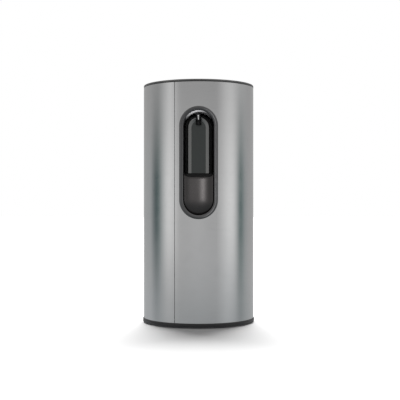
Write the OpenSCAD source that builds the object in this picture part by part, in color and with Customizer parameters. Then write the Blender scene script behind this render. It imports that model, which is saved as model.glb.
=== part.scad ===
// Countertop water dispenser: a steel drum with a hinged door that carries the dispensing niche.
// The front is -Y. An azimuth is an angle round the body's axis, 0 at the front, growing towards +X.

/* [Housing] */
// Outside diameter of the two steel shells
body_d = 220; // [216:1:224]
// Overall height, from the table to the top of the cap
body_h = 472.8; // [472:0.2:476]
// Sheet thickness of the shells
skin_t = 1.2; // [1:0.1:1.4]
// How far the base trim stands proud of the shells
base_lip = 1.6; // [1.2:0.1:2]
// Top of the base trim above the table
base_top = 8.7; // [8:0.1:9]
// Height of the cap's visible rim
cap_rim_h = 4.6; // [4.4:0.1:4.8]

/* [Door] */
// Azimuth of the door's opening seam
seam_az = -24.6; // [-26:0.1:-24]
// Azimuth of the door's hinge
hinge_az = 118; // [117:0.5:119]
// Width of the seam
seam_gap = 1; // [0.8:0.1:1.2]

/* [Niche] */
// Height of the niche's centre
niche_z = 314.1; // [313.5:0.1:314.5]
// Half the distance between the centres of the niche's round ends
niche_half = 70.3; // [70:0.1:70.6]
// Outside radius of the bezel's round ends
bezel_r = 36.9; // [36.6:0.1:37.2]
// Radius of the niche's opening
mouth_r = 29.3; // [29.2:0.1:29.4]
// How far the bezel stands proud of the door
bezel_lip = 1.5; // [1.2:0.1:1.6]
// Radius of the dispense paddle's round top
paddle_r = 20.6; // [20.4:0.1:20.8]
// Tilt of the drip cup's rim
rim_tilt = 8; // [6:0.5:10]

/* [Tank] */
// Radius of the water tank
tank_r = 85; // [84:0.5:85.5]
// Wall of the water tank
tank_t = 2.5; // [2:0.1:3]

/* [Hidden] */
$fn = 96;
eps = 0.01;
far = 300;

body_r = body_d / 2;
skin_r = body_r - skin_t;         // inside radius of the shells
lining_r = skin_r - 0.1;          // outside radius of what lies against them
plate_r = 104;                    // radius of the round chassis plates
foot_gap = 1.5;                   // the tray's height above the table
skin_z0 = base_top + 0.4;
cap_z = body_h - cap_rim_h;
skin_z1 = cap_z - 0.4;
deg_per_mm = 180 / (PI * body_r);
seam_half = seam_gap / 2 * deg_per_mm;

base_plate_z = 4;
plate_t = 1.5;
posts_z0 = base_plate_z + plate_t;
top_plate_z = 450;
shelf_z = 198;
post_w = 12;
jamb_post_az = seam_az - 7.5;
post_places = [[jamb_post_az, 93], [-118, 93], [151, 93], [126.5, 98]];   // azimuth, radius
foot_r = 8.5;
foot_places = [18, 140, 220, 342];         // azimuths
foot_ring_r = 86;
cap_boss_places = [0, 90, 180, 270];       // azimuths
cap_boss_ring_r = 80;

lid_r = 56.5;
lid_t = 3;
lid_top = body_h - 0.3;
lid_bottom = lid_top - lid_t;
ledge_z = lid_bottom - 0.2;
ledge_r = 49;
lid_axis_y = 60;
lid_axis_z = body_h - 2.8;
lid_knuckle_r = 2.6;
lid_pin_r = 1.2;
ledge_t = 3.2;
funnel_z1 = ledge_z - ledge_t - 0.2;
funnel_flange_r = 52.5;
funnel_r = 49.2;
spout_r = 16;

tank_front_y = -26;
tank_z0 = shelf_z + plate_t + 0.1;
tank_z1 = 412;
float_place = [-46, 28];

axis_r = body_r + 3.4;            // radius of the door's hinge axis
knuckle_r = 3;
hinge_pin_r = 1.5;
hinge_h = 40;
hinge_zs = [60, 380];
hinge_gap_half = 1.2;

top_arc_z = niche_z + niche_half;
low_arc_z = niche_z - niche_half;
liner_t = 1.8;
liner_back_y = -44;               // the liner's inside back face
flange_y = -98;                   // where the liner's flange meets the retainer
flange_r = bezel_r + 1.6;
pivot_y = -50;
pivot_z = 390;
paddle_front_y = -60;
paddle_t = 6;
paddle_low_z = 264;
nozzle_y = -67;
nozzle_z = 389;
trigger_z = 340;
cup_r = mouth_r - 0.4;
cup_depth = 6;                    // the bulge of the cup's oval front
cup_y = -102.8;                   // where that bulge starts
cup_back_y = -66;
cup_t = 2;
grid_r = cup_r - cup_t - 0.3;
cup_rim_z = 286.7;
rim_round = 10;
screw_zs = [250, 314, 378];
screw_xs = [-36, 36];

filter_place = [46, -44];
pump_place = [-36, -52];
chiller_place = [0, 22];
fan_y = 86;
fan_z = 105;
fan_w = 70;
panel_z = 38;
inlet_x = -17;
switch_x = 22;
panel_floor_y = 100;
rocker_axis_y = panel_floor_y + 1;
rocker_rest = 7;

// ---- helpers ----

// Places children at an azimuth, with their +X pointing outwards
module at_az(az, r = 0) rotate([0, 0, az - 90]) translate([r, 0, 0]) children();

// A piece of round wall between two radii, two heights and two azimuths
module band(r0, r1, z0, z1, az0, az1)
    rotate([0, 0, az0 - 90]) rotate_extrude(angle = az1 - az0)
        translate([r0, z0]) square([r1 - r0, z1 - z0]);

module disc(r, z0, z1) translate([0, 0, z0]) cylinder(r = r, h = z1 - z0);

// A ring's section whose outer corners are rounded
module soft_section(r0, r1, z0, z1, c) {
    translate([r0, z0]) square([r1 - c - r0, z1 - z0]);
    translate([r0, z0 + c]) square([r1 - r0, z1 - z0 - 2 * c]);
    for (z = [z0 + c, z1 - c]) translate([r1 - c, z]) circle(c, $fn = 32);
}

// The niche's long round-ended outline
module stadium(r, z0 = low_arc_z, z1 = top_arc_z) {
    for (z = [z0, z1]) translate([0, z]) circle(r);
    translate([-r, z0]) square([2 * r, z1 - z0]);
}

// An outline drawn in X and Z, made solid from y0 back to y1
module front_prism(y0, y1) translate([0, y1, 0]) rotate([90, 0, 0]) linear_extrude(y1 - y0) children();

module stadium_ring(r0, r1, y0, y1) difference() {
    front_prism(y0, y1) stadium(r1);
    front_prism(y0 - 1, y1 + 1) stadium(r0);
}

module across(x0, x1, y, z, r)
    translate([x0, y, z]) rotate([0, 90, 0]) cylinder(r = r, h = x1 - x0, $fn = 32);
module along(x, y0, y1, z, r)
    translate([x, y1, z]) rotate([90, 0, 0]) cylinder(r = r, h = y1 - y0, $fn = 32);
module box(a, b) translate(a) cube(b - a);

// A pan-head screw, its head's underside at the origin and its shank pointing up
module screw(shank_r, head_r, length) {
    cylinder(r = shank_r, h = length, $fn = 24);
    translate([0, 0, -head_r * 0.55]) difference() {
        cylinder(r = head_r, h = head_r * 0.55, $fn = 32);
        for (a = [0, 90]) rotate([0, 0, a])
            translate([-head_r * 0.6, -0.4, -eps]) cube([head_r * 1.2, 0.8, head_r * 0.3]);
    }
}

// A hose: a round section swept along a smooth curve through its route's points
function unit(v) = v / norm(v);
function spline_at(p, i, t) = let (
    a = p[max(i - 1, 0)], b = p[i], c = p[i + 1], d = p[min(i + 2, len(p) - 1)])
    0.5 * (2 * b + (c - a) * t + (2 * a - 5 * b + 4 * c - d) * t * t + (3 * b - a - 3 * c + d) * t * t * t);
function smooth_route(p, n) = [
    for (i = [0:len(p) - 2]) for (k = [0:n - 1]) spline_at(p, i, k / n),
    p[len(p) - 1]];
function tangent(c, i, p) = i == 0 ? unit(p[1] - p[0])
    : i == len(c) - 1 ? unit(p[len(p) - 1] - p[len(p) - 2]) : unit(c[i + 1] - c[i - 1]);
function side_of(t, hint) = unit(cross(t, hint));
module hose(route, r, hint, steps = 4, sides = 10) {
    c = smooth_route(route, steps);
    n = len(c);
    points = [for (i = [0:n - 1]) let (t = tangent(c, i, route), u = side_of(t, hint), v = cross(t, u))
        for (k = [0:sides - 1]) c[i] + r * (cos(360 * k / sides) * u + sin(360 * k / sides) * v)];
    walls = [for (i = [0:n - 2]) for (k = [0:sides - 1]) let (m = (k + 1) % sides)
        [i * sides + k, (i + 1) * sides + k, (i + 1) * sides + m, i * sides + m]];
    polyhedron(points, concat([[for (k = [0:sides - 1]) k]], walls,
        [[for (k = [sides - 1:-1:0]) (n - 1) * sides + k]]));
}

// ---- base ----

module base_tray() color("#26282b") difference() {
    rotate_extrude($fn = 180) {
        soft_section(body_r - 2.8, body_r + base_lip, foot_gap, base_top, 1.6);
        translate([0, foot_gap]) square([body_r - 2.7, base_plate_z - foot_gap]);
        translate([body_r - 4.4, foot_gap]) square([2, 12.5]);
    }
    for (a = foot_places) at_az(a, foot_ring_r) disc(foot_r + 0.2, foot_gap - 1, 3);
    for (p = post_places) at_az(p[0], p[1]) {
        disc(2.2, 0, 8);
        disc(4, 0, 3.4);
    }
    for (x = [-28:8:28]) box([x - 2, 62, 0], [x + 2, 90, 8]);
}

// A chassis plate whose rear edge meets the fixed shell
module chassis_disc(r, z0, z1) {
    disc(r, z0, z1);
    band(r - 4, lining_r, z0, z1, hinge_az + 12, 360 + seam_az - 8);
}

module base_plate() color("silver") difference() {
    disc(plate_r, base_plate_z, posts_z0);
    for (p = post_places) at_az(p[0], p[1]) disc(2.2, 0, 8);
    for (x = [-28:8:28]) box([x - 2, 62, 0], [x + 2, 90, 8]);
}

module rubber_feet() color("#1b1b1c") for (a = foot_places) at_az(a, foot_ring_r) difference() {
    union() {
        cylinder(r1 = foot_r - 0.6, r2 = foot_r, h = 0.8, $fn = 48);
        disc(foot_r, 0.8, 3);
    }
    disc(3, -1, 0.9);
}

module housing_screws() color("#b9bcc0") {
    for (p = post_places) {
        at_az(p[0], p[1]) translate([0, 0, 3.4]) screw(1.95, 3.3, 14);
        at_az(p[0], p[1]) translate([0, 0, top_plate_z + plate_t]) mirror([0, 0, 1]) screw(1.95, 3.3, 14);
    }
    for (a = cap_boss_places) at_az(a, cap_boss_ring_r)
        translate([0, 0, top_plate_z]) screw(1.45, 2.8, 12);
}

// ---- frame ----

module rear_shell() color("#a9abad") difference() {
    band(skin_r, body_r, skin_z0, skin_z1,
        hinge_az + hinge_gap_half * deg_per_mm, 360 + seam_az - seam_half);
    for (z = [fan_z - 32:8:fan_z + 32]) {
        box([-26, 80, z - 1.6], [26, 120, z + 1.6]);
        for (x = [-26, 26]) along(x, 80, 120, z, 1.6);
    }
    box([-37.4, 80, panel_z - 15.6], [37.4, 120, panel_z + 15.6]);
}

module corner_posts() color("#c2c5c8") for (p = post_places) at_az(p[0], p[1]) difference() {
    box([-post_w / 2, -post_w / 2, posts_z0], [post_w / 2, post_w / 2, top_plate_z]);
    for (z = [posts_z0 - 1, top_plate_z - 16]) disc(2, z, z + 17);
}

module shelf() color("silver") difference() {
    union() {
        chassis_disc(plate_r - 1, shelf_z, shelf_z + plate_t);
        intersection() {
            disc(plate_r - 1, shelf_z, shelf_z + 3.8);
            difference() {
                disc(tank_r + 2.6, shelf_z, shelf_z + 3.8);
                disc(tank_r + 1, shelf_z - 1, shelf_z + 5);
            }
            box([-far, 0, 0], [far, far, far]);
        }
    }
    for (p = post_places) at_az(p[0], p[1])
        box([-post_w / 2 - 0.2, -post_w / 2 - 0.2, 0], [post_w / 2 + 0.2, post_w / 2 + 0.2, far]);
    translate([30, 10, 0]) disc(9, 0, far);
    at_az(108, 90) disc(9, 0, far);
    for (p = [[-52, -40], [0, -70], [60, 30]]) translate([p[0], p[1], 0]) disc(10, 0, far);
}

module top_plate() color("silver") difference() {
    chassis_disc(plate_r, top_plate_z, top_plate_z + plate_t);
    disc(54, 0, far * 2);
    for (p = post_places) at_az(p[0], p[1]) disc(2.2, 0, far * 2);
    for (a = cap_boss_places) at_az(a, cap_boss_ring_r) disc(1.7, 0, far * 2);
}

module top_cap() color("#2b2c2e") difference() {
    union() {
        difference() {
            union() {
                rotate_extrude($fn = 180) {
                    soft_section(body_r - 6, body_r + 0.2, cap_z, body_h, 2);
                    translate([lid_r + 0.5, body_h - 2.4]) square([body_r - lid_r - 5, 2.4]);
                    translate([body_r - 4.4, top_plate_z + plate_t]) square([2, 20]);
                    translate([lid_r + 0.5, ledge_z - ledge_t])
                        square([2, body_h - ledge_z + ledge_t - 0.4]);
                    translate([ledge_r, ledge_z - ledge_t]) square([lid_r + 2.5 - ledge_r, ledge_t]);
                }
                box([-25, lid_axis_y - 7, ledge_z - 4], [25, lid_axis_y + 7, body_h]);
            }
            disc(ledge_r, 0, far * 2);
            disc(lid_r + 0.5, ledge_z, far * 2);
            box([-23, lid_axis_y - 10, ledge_z - 2.4], [23, lid_axis_y + 4.8, far * 2]);
        }
        for (s = [-1, 1]) {
            box([s * 19 - 3.5, lid_axis_y - 2.5, ledge_z - 2],
                [s * 19 + 3.5, lid_axis_y + 2.5, lid_axis_z]);
            across(s * 19 - 3.5, s * 19 + 3.5, lid_axis_y, lid_axis_z, 2.5);
        }
        for (a = cap_boss_places) at_az(a, cap_boss_ring_r) disc(4, top_plate_z + plate_t, body_h - 1);
    }
    for (a = cap_boss_places) at_az(a, cap_boss_ring_r) disc(1.5, 0, top_plate_z + 14);
    across(-23.5, 23.5, lid_axis_y, lid_axis_z, lid_pin_r + 0.05);
    translate([0, -lid_r - 4, body_h + 18.2]) sphere(20);
}

module jamb_strip() color("#161617")
    band(skin_r - 3.2, lining_r, 16, top_plate_z - 2, seam_az - 4.6, seam_az + 0.25);

module magnet_catches() color("#3a3b3d") for (z = [40, 416]) at_az(jamb_post_az, 93)
    difference() {
        box([-3, post_w / 2 + 0.1, z - 16], [9.4, post_w / 2 + 13.5, z + 16]);
        for (s = [-1, 1]) box([8.6, post_w / 2 + 2, z + s * 7 - 5], [10, post_w / 2 + 12, z + s * 7 + 5]);
    }

// ---- hinge: barrels outside the shells, leaves inside them ----

module barrel(z0, z1) difference() {
    at_az(hinge_az, axis_r) disc(knuckle_r, z0, z1);
    at_az(hinge_az, axis_r) disc(hinge_pin_r + 0.05, z0 - 1, z1 + 1);
}

module hinge_web(z0, z1) difference() {
    at_az(hinge_az, 0) box([lining_r - 0.9, -0.7, z0], [axis_r, 0.7, z1]);
    at_az(hinge_az, axis_r) disc(knuckle_r - 0.5, z0 - 1, z1 + 1);
}

module hinge_leaves_fixed() color("#8d9094") for (z = hinge_zs) {
    for (k = [0, 28]) {
        barrel(z + k, z + k + 12);
        hinge_web(z + k, z + k + 12);
    }
    difference() {
        band(lining_r - 1.5, lining_r, z, z + hinge_h, hinge_az - 0.6, hinge_az + 8.6);
        at_az(hinge_az, 0) box([90, -4, z + 12], [115, 2.2, z + 28]);
    }
}

module hinge_leaves_door() color("#8d9094") for (z = hinge_zs) {
    barrel(z + 12.3, z + 27.7);
    hinge_web(z + 12.3, z + 27.7);
    band(lining_r - 1.5, lining_r, z + 12.3, z + 27.7, hinge_az - 8.6, hinge_az + 0.6);
}

module hinge_pins() color("#d5d7da") {
    for (z = hinge_zs) at_az(hinge_az, axis_r) {
        disc(hinge_pin_r, z - 1, z + hinge_h + 0.5);
        disc(2.4, z - 2.2, z - 0.2);
        disc(2.4, z + hinge_h + 0.2, z + hinge_h + 1.6);
    }
    across(-22.5, 22.5, lid_axis_y, lid_axis_z, lid_pin_r);
}

// ---- rear service panel, power inlet and switch ----

module rear_panel() color("#2b2c2e") difference() {
    union() {
        intersection() {
            box([-43, 90, panel_z - 20], [43, 120, panel_z + 20]);
            difference() {
                disc(body_r + 1.4, 0, 80);
                disc(body_r + 0.05, -1, 81);
            }
        }
        intersection() {
            box([-37, panel_floor_y, panel_z - 15.2], [37, 120, panel_z + 15.2]);
            disc(body_r + 1.4, 0, 80);
        }
    }
    box([-35.4, panel_floor_y + 1.6, panel_z - 13.6], [35.4, 120, panel_z + 13.6]);
    box([inlet_x - 13.6, 90, panel_z - 10], [inlet_x + 13.6, 105, panel_z + 10]);
    box([switch_x - 6.6, 90, panel_z - 9.6], [switch_x + 6.6, 105, panel_z + 9.6]);
}

module power_inlet() color("#1b1b1c") difference() {
    union() {
        box([inlet_x - 13.4, 79, panel_z - 9.8], [inlet_x + 13.4, panel_floor_y + 1.7, panel_z + 9.8]);
        box([inlet_x - 15.5, panel_floor_y + 1.7, panel_z - 12],
            [inlet_x + 15.5, panel_floor_y + 3.7, panel_z + 12]);
    }
    front_prism(84, 110) translate([inlet_x, panel_z])
        polygon([[-12, -8.2], [12, -8.2], [12, 3.6], [7.4, 8.2], [-7.4, 8.2], [-12, 3.6]]);
    for (x = [-7, 0, 7]) box([inlet_x + x - 1.2, 70, panel_z - 3], [inlet_x + x + 1.2, 90, panel_z + 3]);
}

module inlet_pins() color("gold") for (p = [[-7, 0], [0, 1], [7, 0]])
    translate([inlet_x + p[0], 0, panel_z + p[1]]) box([-1, 74, -2], [1, 96.5, 2]);

module switch_frame() color("#1b1b1c") difference() {
    union() {
        box([switch_x - 6.4, 88, panel_z - 9.4], [switch_x + 6.4, panel_floor_y + 1.7, panel_z + 9.4]);
        box([switch_x - 7.6, panel_floor_y + 1.7, panel_z - 10.6],
            [switch_x + 7.6, panel_floor_y + 3.2, panel_z + 10.6]);
    }
    box([switch_x - 5.2, 93, panel_z - 8.6], [switch_x + 5.2, 110, panel_z + 8.6]);
    across(switch_x - 5.9, switch_x + 5.9, rocker_axis_y - 2, panel_z, 1.06);
}

// The rocker turns on two stub pins that sit in the frame's side walls
module switch_rocker() color("#3c3d40") translate([switch_x, rocker_axis_y - 2, panel_z]) {
    across(-5.6, 5.6, 0, 0, 1);
    rotate([rocker_rest, 0, 0]) translate([0, 2, 0]) intersection() {
        translate([-4.9, -far, -7.9]) cube([9.8, 2 * far, 15.8]);
        difference() {
            across(-4.9, 4.9, -1.5, 0, 8.2);
            for (a = [-8, 8]) rotate([a, 0, 0])
                box([-9, 3.6, a < 0 ? 0 : -20], [9, 20, a < 0 ? 20 : 0]);
            box([-9, -20, -20], [9, -4, 20]);
        }
    }
}

// ---- filling and storing the water ----

module fill_funnel() color("#d9dcdf") rotate_extrude() polygon([
    [funnel_r, funnel_z1], [funnel_flange_r, funnel_z1], [funnel_flange_r, funnel_z1 - 2],
    [funnel_r + 2, funnel_z1 - 2], [funnel_r + 2, 456], [spout_r + 2, 430], [spout_r + 2, 414],
    [spout_r, 414], [spout_r, 430], [funnel_r, 456]]);

module tank_outline(inset) intersection() {
    circle(tank_r - inset);
    translate([-far, tank_front_y + inset]) square([2 * far, far]);
}

module water_tank() color("#cfe3ee", 0.6) difference() {
    union() {
        translate([0, 0, tank_z0]) linear_extrude(tank_z1 - tank_z0) tank_outline(0);
        translate([30, 10, 0]) disc(7, tank_z0 - 10, tank_z0 + 1);
    }
    translate([0, 0, tank_z0 + tank_t]) linear_extrude(far) tank_outline(tank_t);
    translate([30, 10, 0]) disc(4, 0, tank_z0 + 5);
}

module tank_lid() color("#e4e8ea") difference() {
    union() {
        translate([0, 0, tank_z1 + 0.1]) linear_extrude(2.4) tank_outline(0);
        translate([0, 0, tank_z1 - 6]) linear_extrude(7) difference() {
            tank_outline(tank_t + 0.3);
            tank_outline(tank_t + 2.3);
        }
    }
    disc(spout_r + 2.3, 0, far * 2);
    translate([float_place[0], float_place[1], 0]) disc(3.2, 0, far * 2);
}

module float_stem() color("#d9dcdf") translate([float_place[0], float_place[1], 0]) {
    disc(3, tank_z0 + tank_t + 2, tank_z1 + 12);
    disc(5.5, tank_z0 + tank_t + 2, tank_z0 + tank_t + 5);
    disc(8, tank_z1 + 2.6, tank_z1 + 6);
}

module tank_float() color("#e8833a") translate([float_place[0], float_place[1], 0]) difference() {
    rotate_extrude() soft_section(0, 13, tank_z0 + tank_t + 5.2, tank_z0 + tank_t + 25, 3);
    disc(3.4, 0, far * 2);
}

module filter_head() color("#e4e8ea") translate([filter_place[0], filter_place[1], 0]) {
    difference() {
        union() {
            disc(29, 168, 186);
            box([-20, -20, 186], [20, 20, shelf_z - 0.1]);
            across(-40, 40, 0, 178, 5);
        }
        disc(25.3, 160, 182);
        across(-41, 41, 0, 178, 2.5);
    }
}

module filter_cartridge() color("#eef1f3") translate([filter_place[0], filter_place[1], 0]) {
    rotate_extrude() {
        soft_section(0, 27, 40, 166, 4);
        square_section(0, 25, 160, 172);
        square_section(0, 20, 170, 176);
    }
    for (a = [0:30:330]) rotate([0, 0, a]) translate([26.4, -1.5, 48]) cube([1.6, 3, 30]);
}

module square_section(r0, r1, z0, z1) translate([r0, z0]) square([r1 - r0, z1 - z0]);

// ---- pump ----

module pump_motor() color("#b9bcc0") translate([pump_place[0], pump_place[1], 0]) {
    rotate_extrude() soft_section(0, 17, posts_z0 + 8, 60, 2);
    disc(22, posts_z0, posts_z0 + 8.2);
    disc(8, 59, 61.8);
}

module pump_head() color("#2b2c2e") translate([pump_place[0], pump_place[1], 0]) difference() {
    union() {
        disc(22, 62, 86);
        disc(7, 85, 98);
        translate([0, 17, 0]) across(-24, 0, 0, 76, 5);
    }
    disc(17, 66, 82);
    disc(2.6, 61, 67);
    disc(3.4, 80, 99);
    translate([0, 17, 0]) across(-35, -2, 0, 76, 3);
}

module pump_impeller() color("#e8ecef") translate([pump_place[0], pump_place[1], 0]) {
    disc(15, 67, 69);
    disc(5, 68, 78);
    disc(2.2, 62.2, 68);
    for (a = [0:60:300]) rotate([0, 0, a]) translate([4, -0.9, 68.5]) cube([10.6, 1.8, 8]);
}

// ---- chiller: cold canister, insulation, thermoelectric module, heat sink and fan ----

module chiller_can() color("#c2c5c8") translate([chiller_place[0], chiller_place[1], 0]) difference() {
    union() {
        rotate_extrude() soft_section(0, 27, 58, 156, 4);
        for (x = [-12, 12]) translate([x, -6, 0]) disc(4, 150, 172);
    }
    rotate_extrude() soft_section(0, 25.6, 59.4, 154.6, 3);
    for (x = [-12, 12]) translate([x, -6, 0]) disc(2.6, 150, 173);
}

module chiller_jacket() color("#3c3d40") difference() {
    translate([chiller_place[0], chiller_place[1], 0]) difference() {
        disc(35, posts_z0, 160);
        disc(27.2, 57.5, 161);
    }
    box([-24, 40, 78], [24, 70, 132]);
}

module cold_block() color("#c2c5c8") difference() {
    box([-20, 42, 85], [20, 55.8, 125]);
    translate([chiller_place[0], chiller_place[1], 0]) disc(27.15, 80, 130);
}

module peltier_module() color("white") {
    box([-20, 56, 85], [20, 57.2, 125]);
    box([-20, 58.8, 85], [20, 60, 125]);
    box([-19, 57.1, 86], [19, 58.9, 124]);
}

module heat_sink() color("#b9bcc0") {
    box([-35, 60.1, fan_z - 35], [35, 65, fan_z + 35]);
    for (x = [-34:4:34]) box([x - 0.6, 64.9, fan_z - 35], [x + 0.6, fan_y - 1, fan_z + 35]);
}

module fan_frame() color("#1b1b1c") difference() {
    union() {
        difference() {
            box([-fan_w / 2, fan_y, fan_z - fan_w / 2], [fan_w / 2, fan_y + 13, fan_z + fan_w / 2]);
            along(0, fan_y - 1, fan_y + 20, fan_z, 32.5);
        }
        along(0, fan_y, fan_y + 2, fan_z, 13);
        translate([0, 0, fan_z]) for (a = [45:90:315]) rotate([0, a, 0])
            box([10, fan_y, -2], [33.5, fan_y + 2, 2]);
    }
    for (x = [-30, 30]) for (z = [-30, 30]) along(x, fan_y - 1, fan_y + 20, fan_z + z, 2);
}

module fan_rotor() color("#2b2c2e") {
    along(0, fan_y + 2.4, fan_y + 12.4, fan_z, 13);
    translate([0, fan_y + 7.4, fan_z]) for (a = [0:360 / 7:359]) rotate([0, a, 0]) intersection() {
        rotate([38, 0, 0]) translate([11, -6.5, -0.5]) cube([22, 13, 1]);
        along(0, -4.8, 4.8, 0, 31.4);
    }
}

// ---- electrics ----

module power_supply() color("#b9bcc0") difference() {
    box([40, -4, posts_z0], [72, 54, 100]);
    for (y = [4:8:44]) for (z = [60:8:92]) across(66, 76, y, z, 2);
}

module board_bracket() color("silver") {
    box([-84.6, -38, posts_z0], [-83.2, 22, 152]);
    box([-84.6, -38, posts_z0], [-70, 22, posts_z0 + 1.4]);
    for (y = [-32, 16]) for (z = [66, 144]) across(-83.3, -77.2, y, z, 2.8);
}

module control_board() color("#1f5a3a") difference() {
    box([-77.2, -36, 60], [-75.6, 20, 150]);
    for (y = [-32, 16]) for (z = [66, 144]) across(-80, -70, y, z, 1.6);
}

module board_parts() color("#2b2c2e") {
    box([-75.6, -22, 124], [-60, -2, 140]);
    box([-75.6, 2, 128], [-62, 12, 142]);
    for (y = [-26, -14]) across(-75.6, -58, y, 108, 5);
    box([-75.6, -8, 98], [-73.6, 8, 114]);
    for (y = [-30, -16, -2]) box([-75.6, y, 66], [-66, y + 10, 74]);
    for (z = [82, 90]) box([-75.6, -28, z], [-72, -20, z + 4]);
}

// ---- hoses, as round-number routes ----

hose_r = 4;
outlet_route = [[30, 10, 189.5], [30, 10, 184], [26, 1, 177], [10, -15, 174], [-4, -25, 175],
    [-8, -31, 177], [-8, -36, 178], [-5.7, -41.7, 178], [0, -44, 178], [5.8, -44, 178]];
suction_route = [[86.2, -44, 178], [88.5, -44, 178], [92, -43, 175.6], [93.6, -41, 170], [94, -36, 154],
    [88, -22, 60], [66, -18, 24], [20, -24, 26], [-12, -32, 64], [-12, -36, 110], [-23, -44, 130],
    [-34, -50.6, 124], [-36, -52, 112], [-36, -52, 98.1]];
pressure_route = [[-60.2, -35, 76], [-64, -35, 76], [-68.6, -36.4, 78.4], [-70.6, -38.4, 86],
    [-70, -42, 100], [-62, -44, 130], [-42, -30, 168], [-26, -8, 186], [-16, 9, 189],
    [-12.4, 15, 185], [-12, 16, 178], [-12, 16, 172.1]];
cold_route = [[12, 16, 172.1], [12, 16, 179], [15, 18, 186], [24, 22, 189], [50, 32, 188],
    [74, 32, 188], [84, 29, 193], [87, 28, 206], [87, 28, 300], [87, 28, 400], [87, 26.3, 414],
    [87, 26, 420], [87, 26, 425]];
door_route = [[87, 26, 425.3], [87, 26, 428.5], [87.2, 23.6, 433.4], [88.4, 17, 435.6], [91, 6, 435.4],
    [94, -10, 434.4], [93, -32, 433], [78, -58, 433], [54, -74, 433.5], [32, -78, 436], [18, -74, 438.2],
    [8, -69.6, 438.6], [2, -67.4, 435.8], [0, -67, 431.5], [0, -67, 427.9]];
module water_hoses() color("#e6ebee") {
    hose(outlet_route, hose_r, [1, 0.4, 0.9]);
    hose(suction_route, hose_r, [0.5, 1, -0.4]);
    hose(pressure_route, hose_r, [-1, 0.5, 0.1]);
    hose(cold_route, hose_r, [-0.3, 1, 0]);
}

module door_hose() color("#e6ebee") hose(door_route, hose_r, [1, -0.9, 0]);

// ---- door ----

module door_skin() color("#b4b6b8") difference() {
    band(skin_r, body_r, skin_z0, skin_z1, seam_az + seam_half, hinge_az - hinge_gap_half * deg_per_mm);
    front_prism(-far, -50) stadium(bezel_r - 3.2);
}

module door_ribs() color("silver") for (z = [18, 184, 440]) {
    band(skin_r - 6, lining_r, z, z + 1.5, seam_az + 2.2, hinge_az - 10);
    band(skin_r - 6, skin_r - 4.6, z, z + 6, seam_az + 2.2, hinge_az - 10);
}

module door_edges() color("silver") {
    for (z = [[24, 183], [190.5, 438]])
        band(lining_r - 1.6, lining_r, z[0], z[1], seam_az + 0.8, seam_az + 2.4);
    for (z = [[60, 182], [191.5, 396]])
        band(lining_r - 5, lining_r - 0.8, z[0], z[1], seam_az + 1.7, seam_az + 2.3);
}

module strike_plates() color("#8d9094") for (z = [40, 416])
    band(lining_r - 2.8, lining_r - 1.7, z - 14, z + 14, seam_az + 0.9, seam_az + 4);

module niche_bezel() color("#3e3f42") difference() {
    union() {
        intersection() {
            front_prism(-far, -60) stadium(bezel_r);
            difference() {
                disc(body_r + bezel_lip, 150, 450);
                disc(body_r + 0.05, 149, 451);
            }
        }
        intersection() {
            front_prism(-far, flange_y - 0.2) stadium(bezel_r - 3.5);
            disc(body_r + bezel_lip - 0.2, 150, 450);
        }
    }
    front_prism(-far, -60) stadium(mouth_r);
    front_prism(-104.2, -60) stadium(mouth_r + 2.1);
}

module niche_retainer() color("#1b1b1c") difference() {
    intersection() {
        front_prism(-far, flange_y - 0.1) stadium(flange_r);
        disc(lining_r, 150, 450);
    }
    front_prism(-far, -60) stadium(bezel_r - 3.3);
    for (z = screw_zs) for (x = screw_xs) along(x, -101.5, -90, z, 1.1);
}

module niche_liner() color("#1a1a1b") difference() {
    union() {
        stadium_ring(mouth_r, mouth_r + liner_t, -104, liner_back_y + 2);
        stadium_ring(mouth_r + liner_t - 0.1, flange_r, flange_y, flange_y + 2.4);
        front_prism(liner_back_y, liner_back_y + 2) stadium(mouth_r + 0.1);
        for (x = [-16.5, 16.5]) {
            box([x - 1.8, pivot_y, pivot_z - 4], [x + 1.8, liner_back_y + 0.1, pivot_z + 4]);
            across(x - 1.8, x + 1.8, pivot_y, pivot_z, 4);
        }
    }
    translate([0, nozzle_y, 0]) disc(5.3, top_arc_z, far * 2);
    along(0, liner_back_y - 1, liner_back_y + 3, trigger_z, 2);
    across(-20, 20, pivot_y, pivot_z, 1.55);
    for (z = screw_zs) for (x = screw_xs) along(x, flange_y - 1, flange_y + 4, z, 1.6);
}

module liner_screws() color("#b9bcc0") for (z = screw_zs) for (x = screw_xs)
    translate([x, flange_y + 2.4, z]) rotate([90, 0, 0]) screw(1.05, 1.9, 5);

module nozzle() color("#101011") translate([0, nozzle_y, 0]) difference() {
    union() {
        disc(5, nozzle_z, 425);
        disc(8, 415.7, 420);
        disc(3.6, 424, 427.8);
    }
    disc(1.8, nozzle_z - 1, 430);
    translate([0, -4, 0]) disc(2.25, nozzle_z + 9.4, nozzle_z + 20);
}

module nozzle_insert() color("#d9dcdf")
    translate([0, nozzle_y - 4, 0]) disc(2.2, nozzle_z + 9.5, nozzle_z + 19.5);

module paddle() color("#4a4b4e") difference() {
    union() {
        front_prism(paddle_front_y, paddle_front_y + paddle_t) stadium(paddle_r, paddle_low_z);
        for (x = [-12, 12]) {
            box([x - 2, paddle_front_y + paddle_t - 1, pivot_z - 4], [x + 2, pivot_y, pivot_z + 4]);
            across(x - 2, x + 2, pivot_y, pivot_z, 4);
        }
    }
    across(-20, 20, pivot_y, pivot_z, 1.55);
    front_prism(paddle_front_y + 2.4, paddle_front_y + paddle_t + 1) stadium(9, 290, 360);
}

module paddle_pin() color("silver") across(-18.3, 18.3, pivot_y, pivot_z, 1.5);

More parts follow.
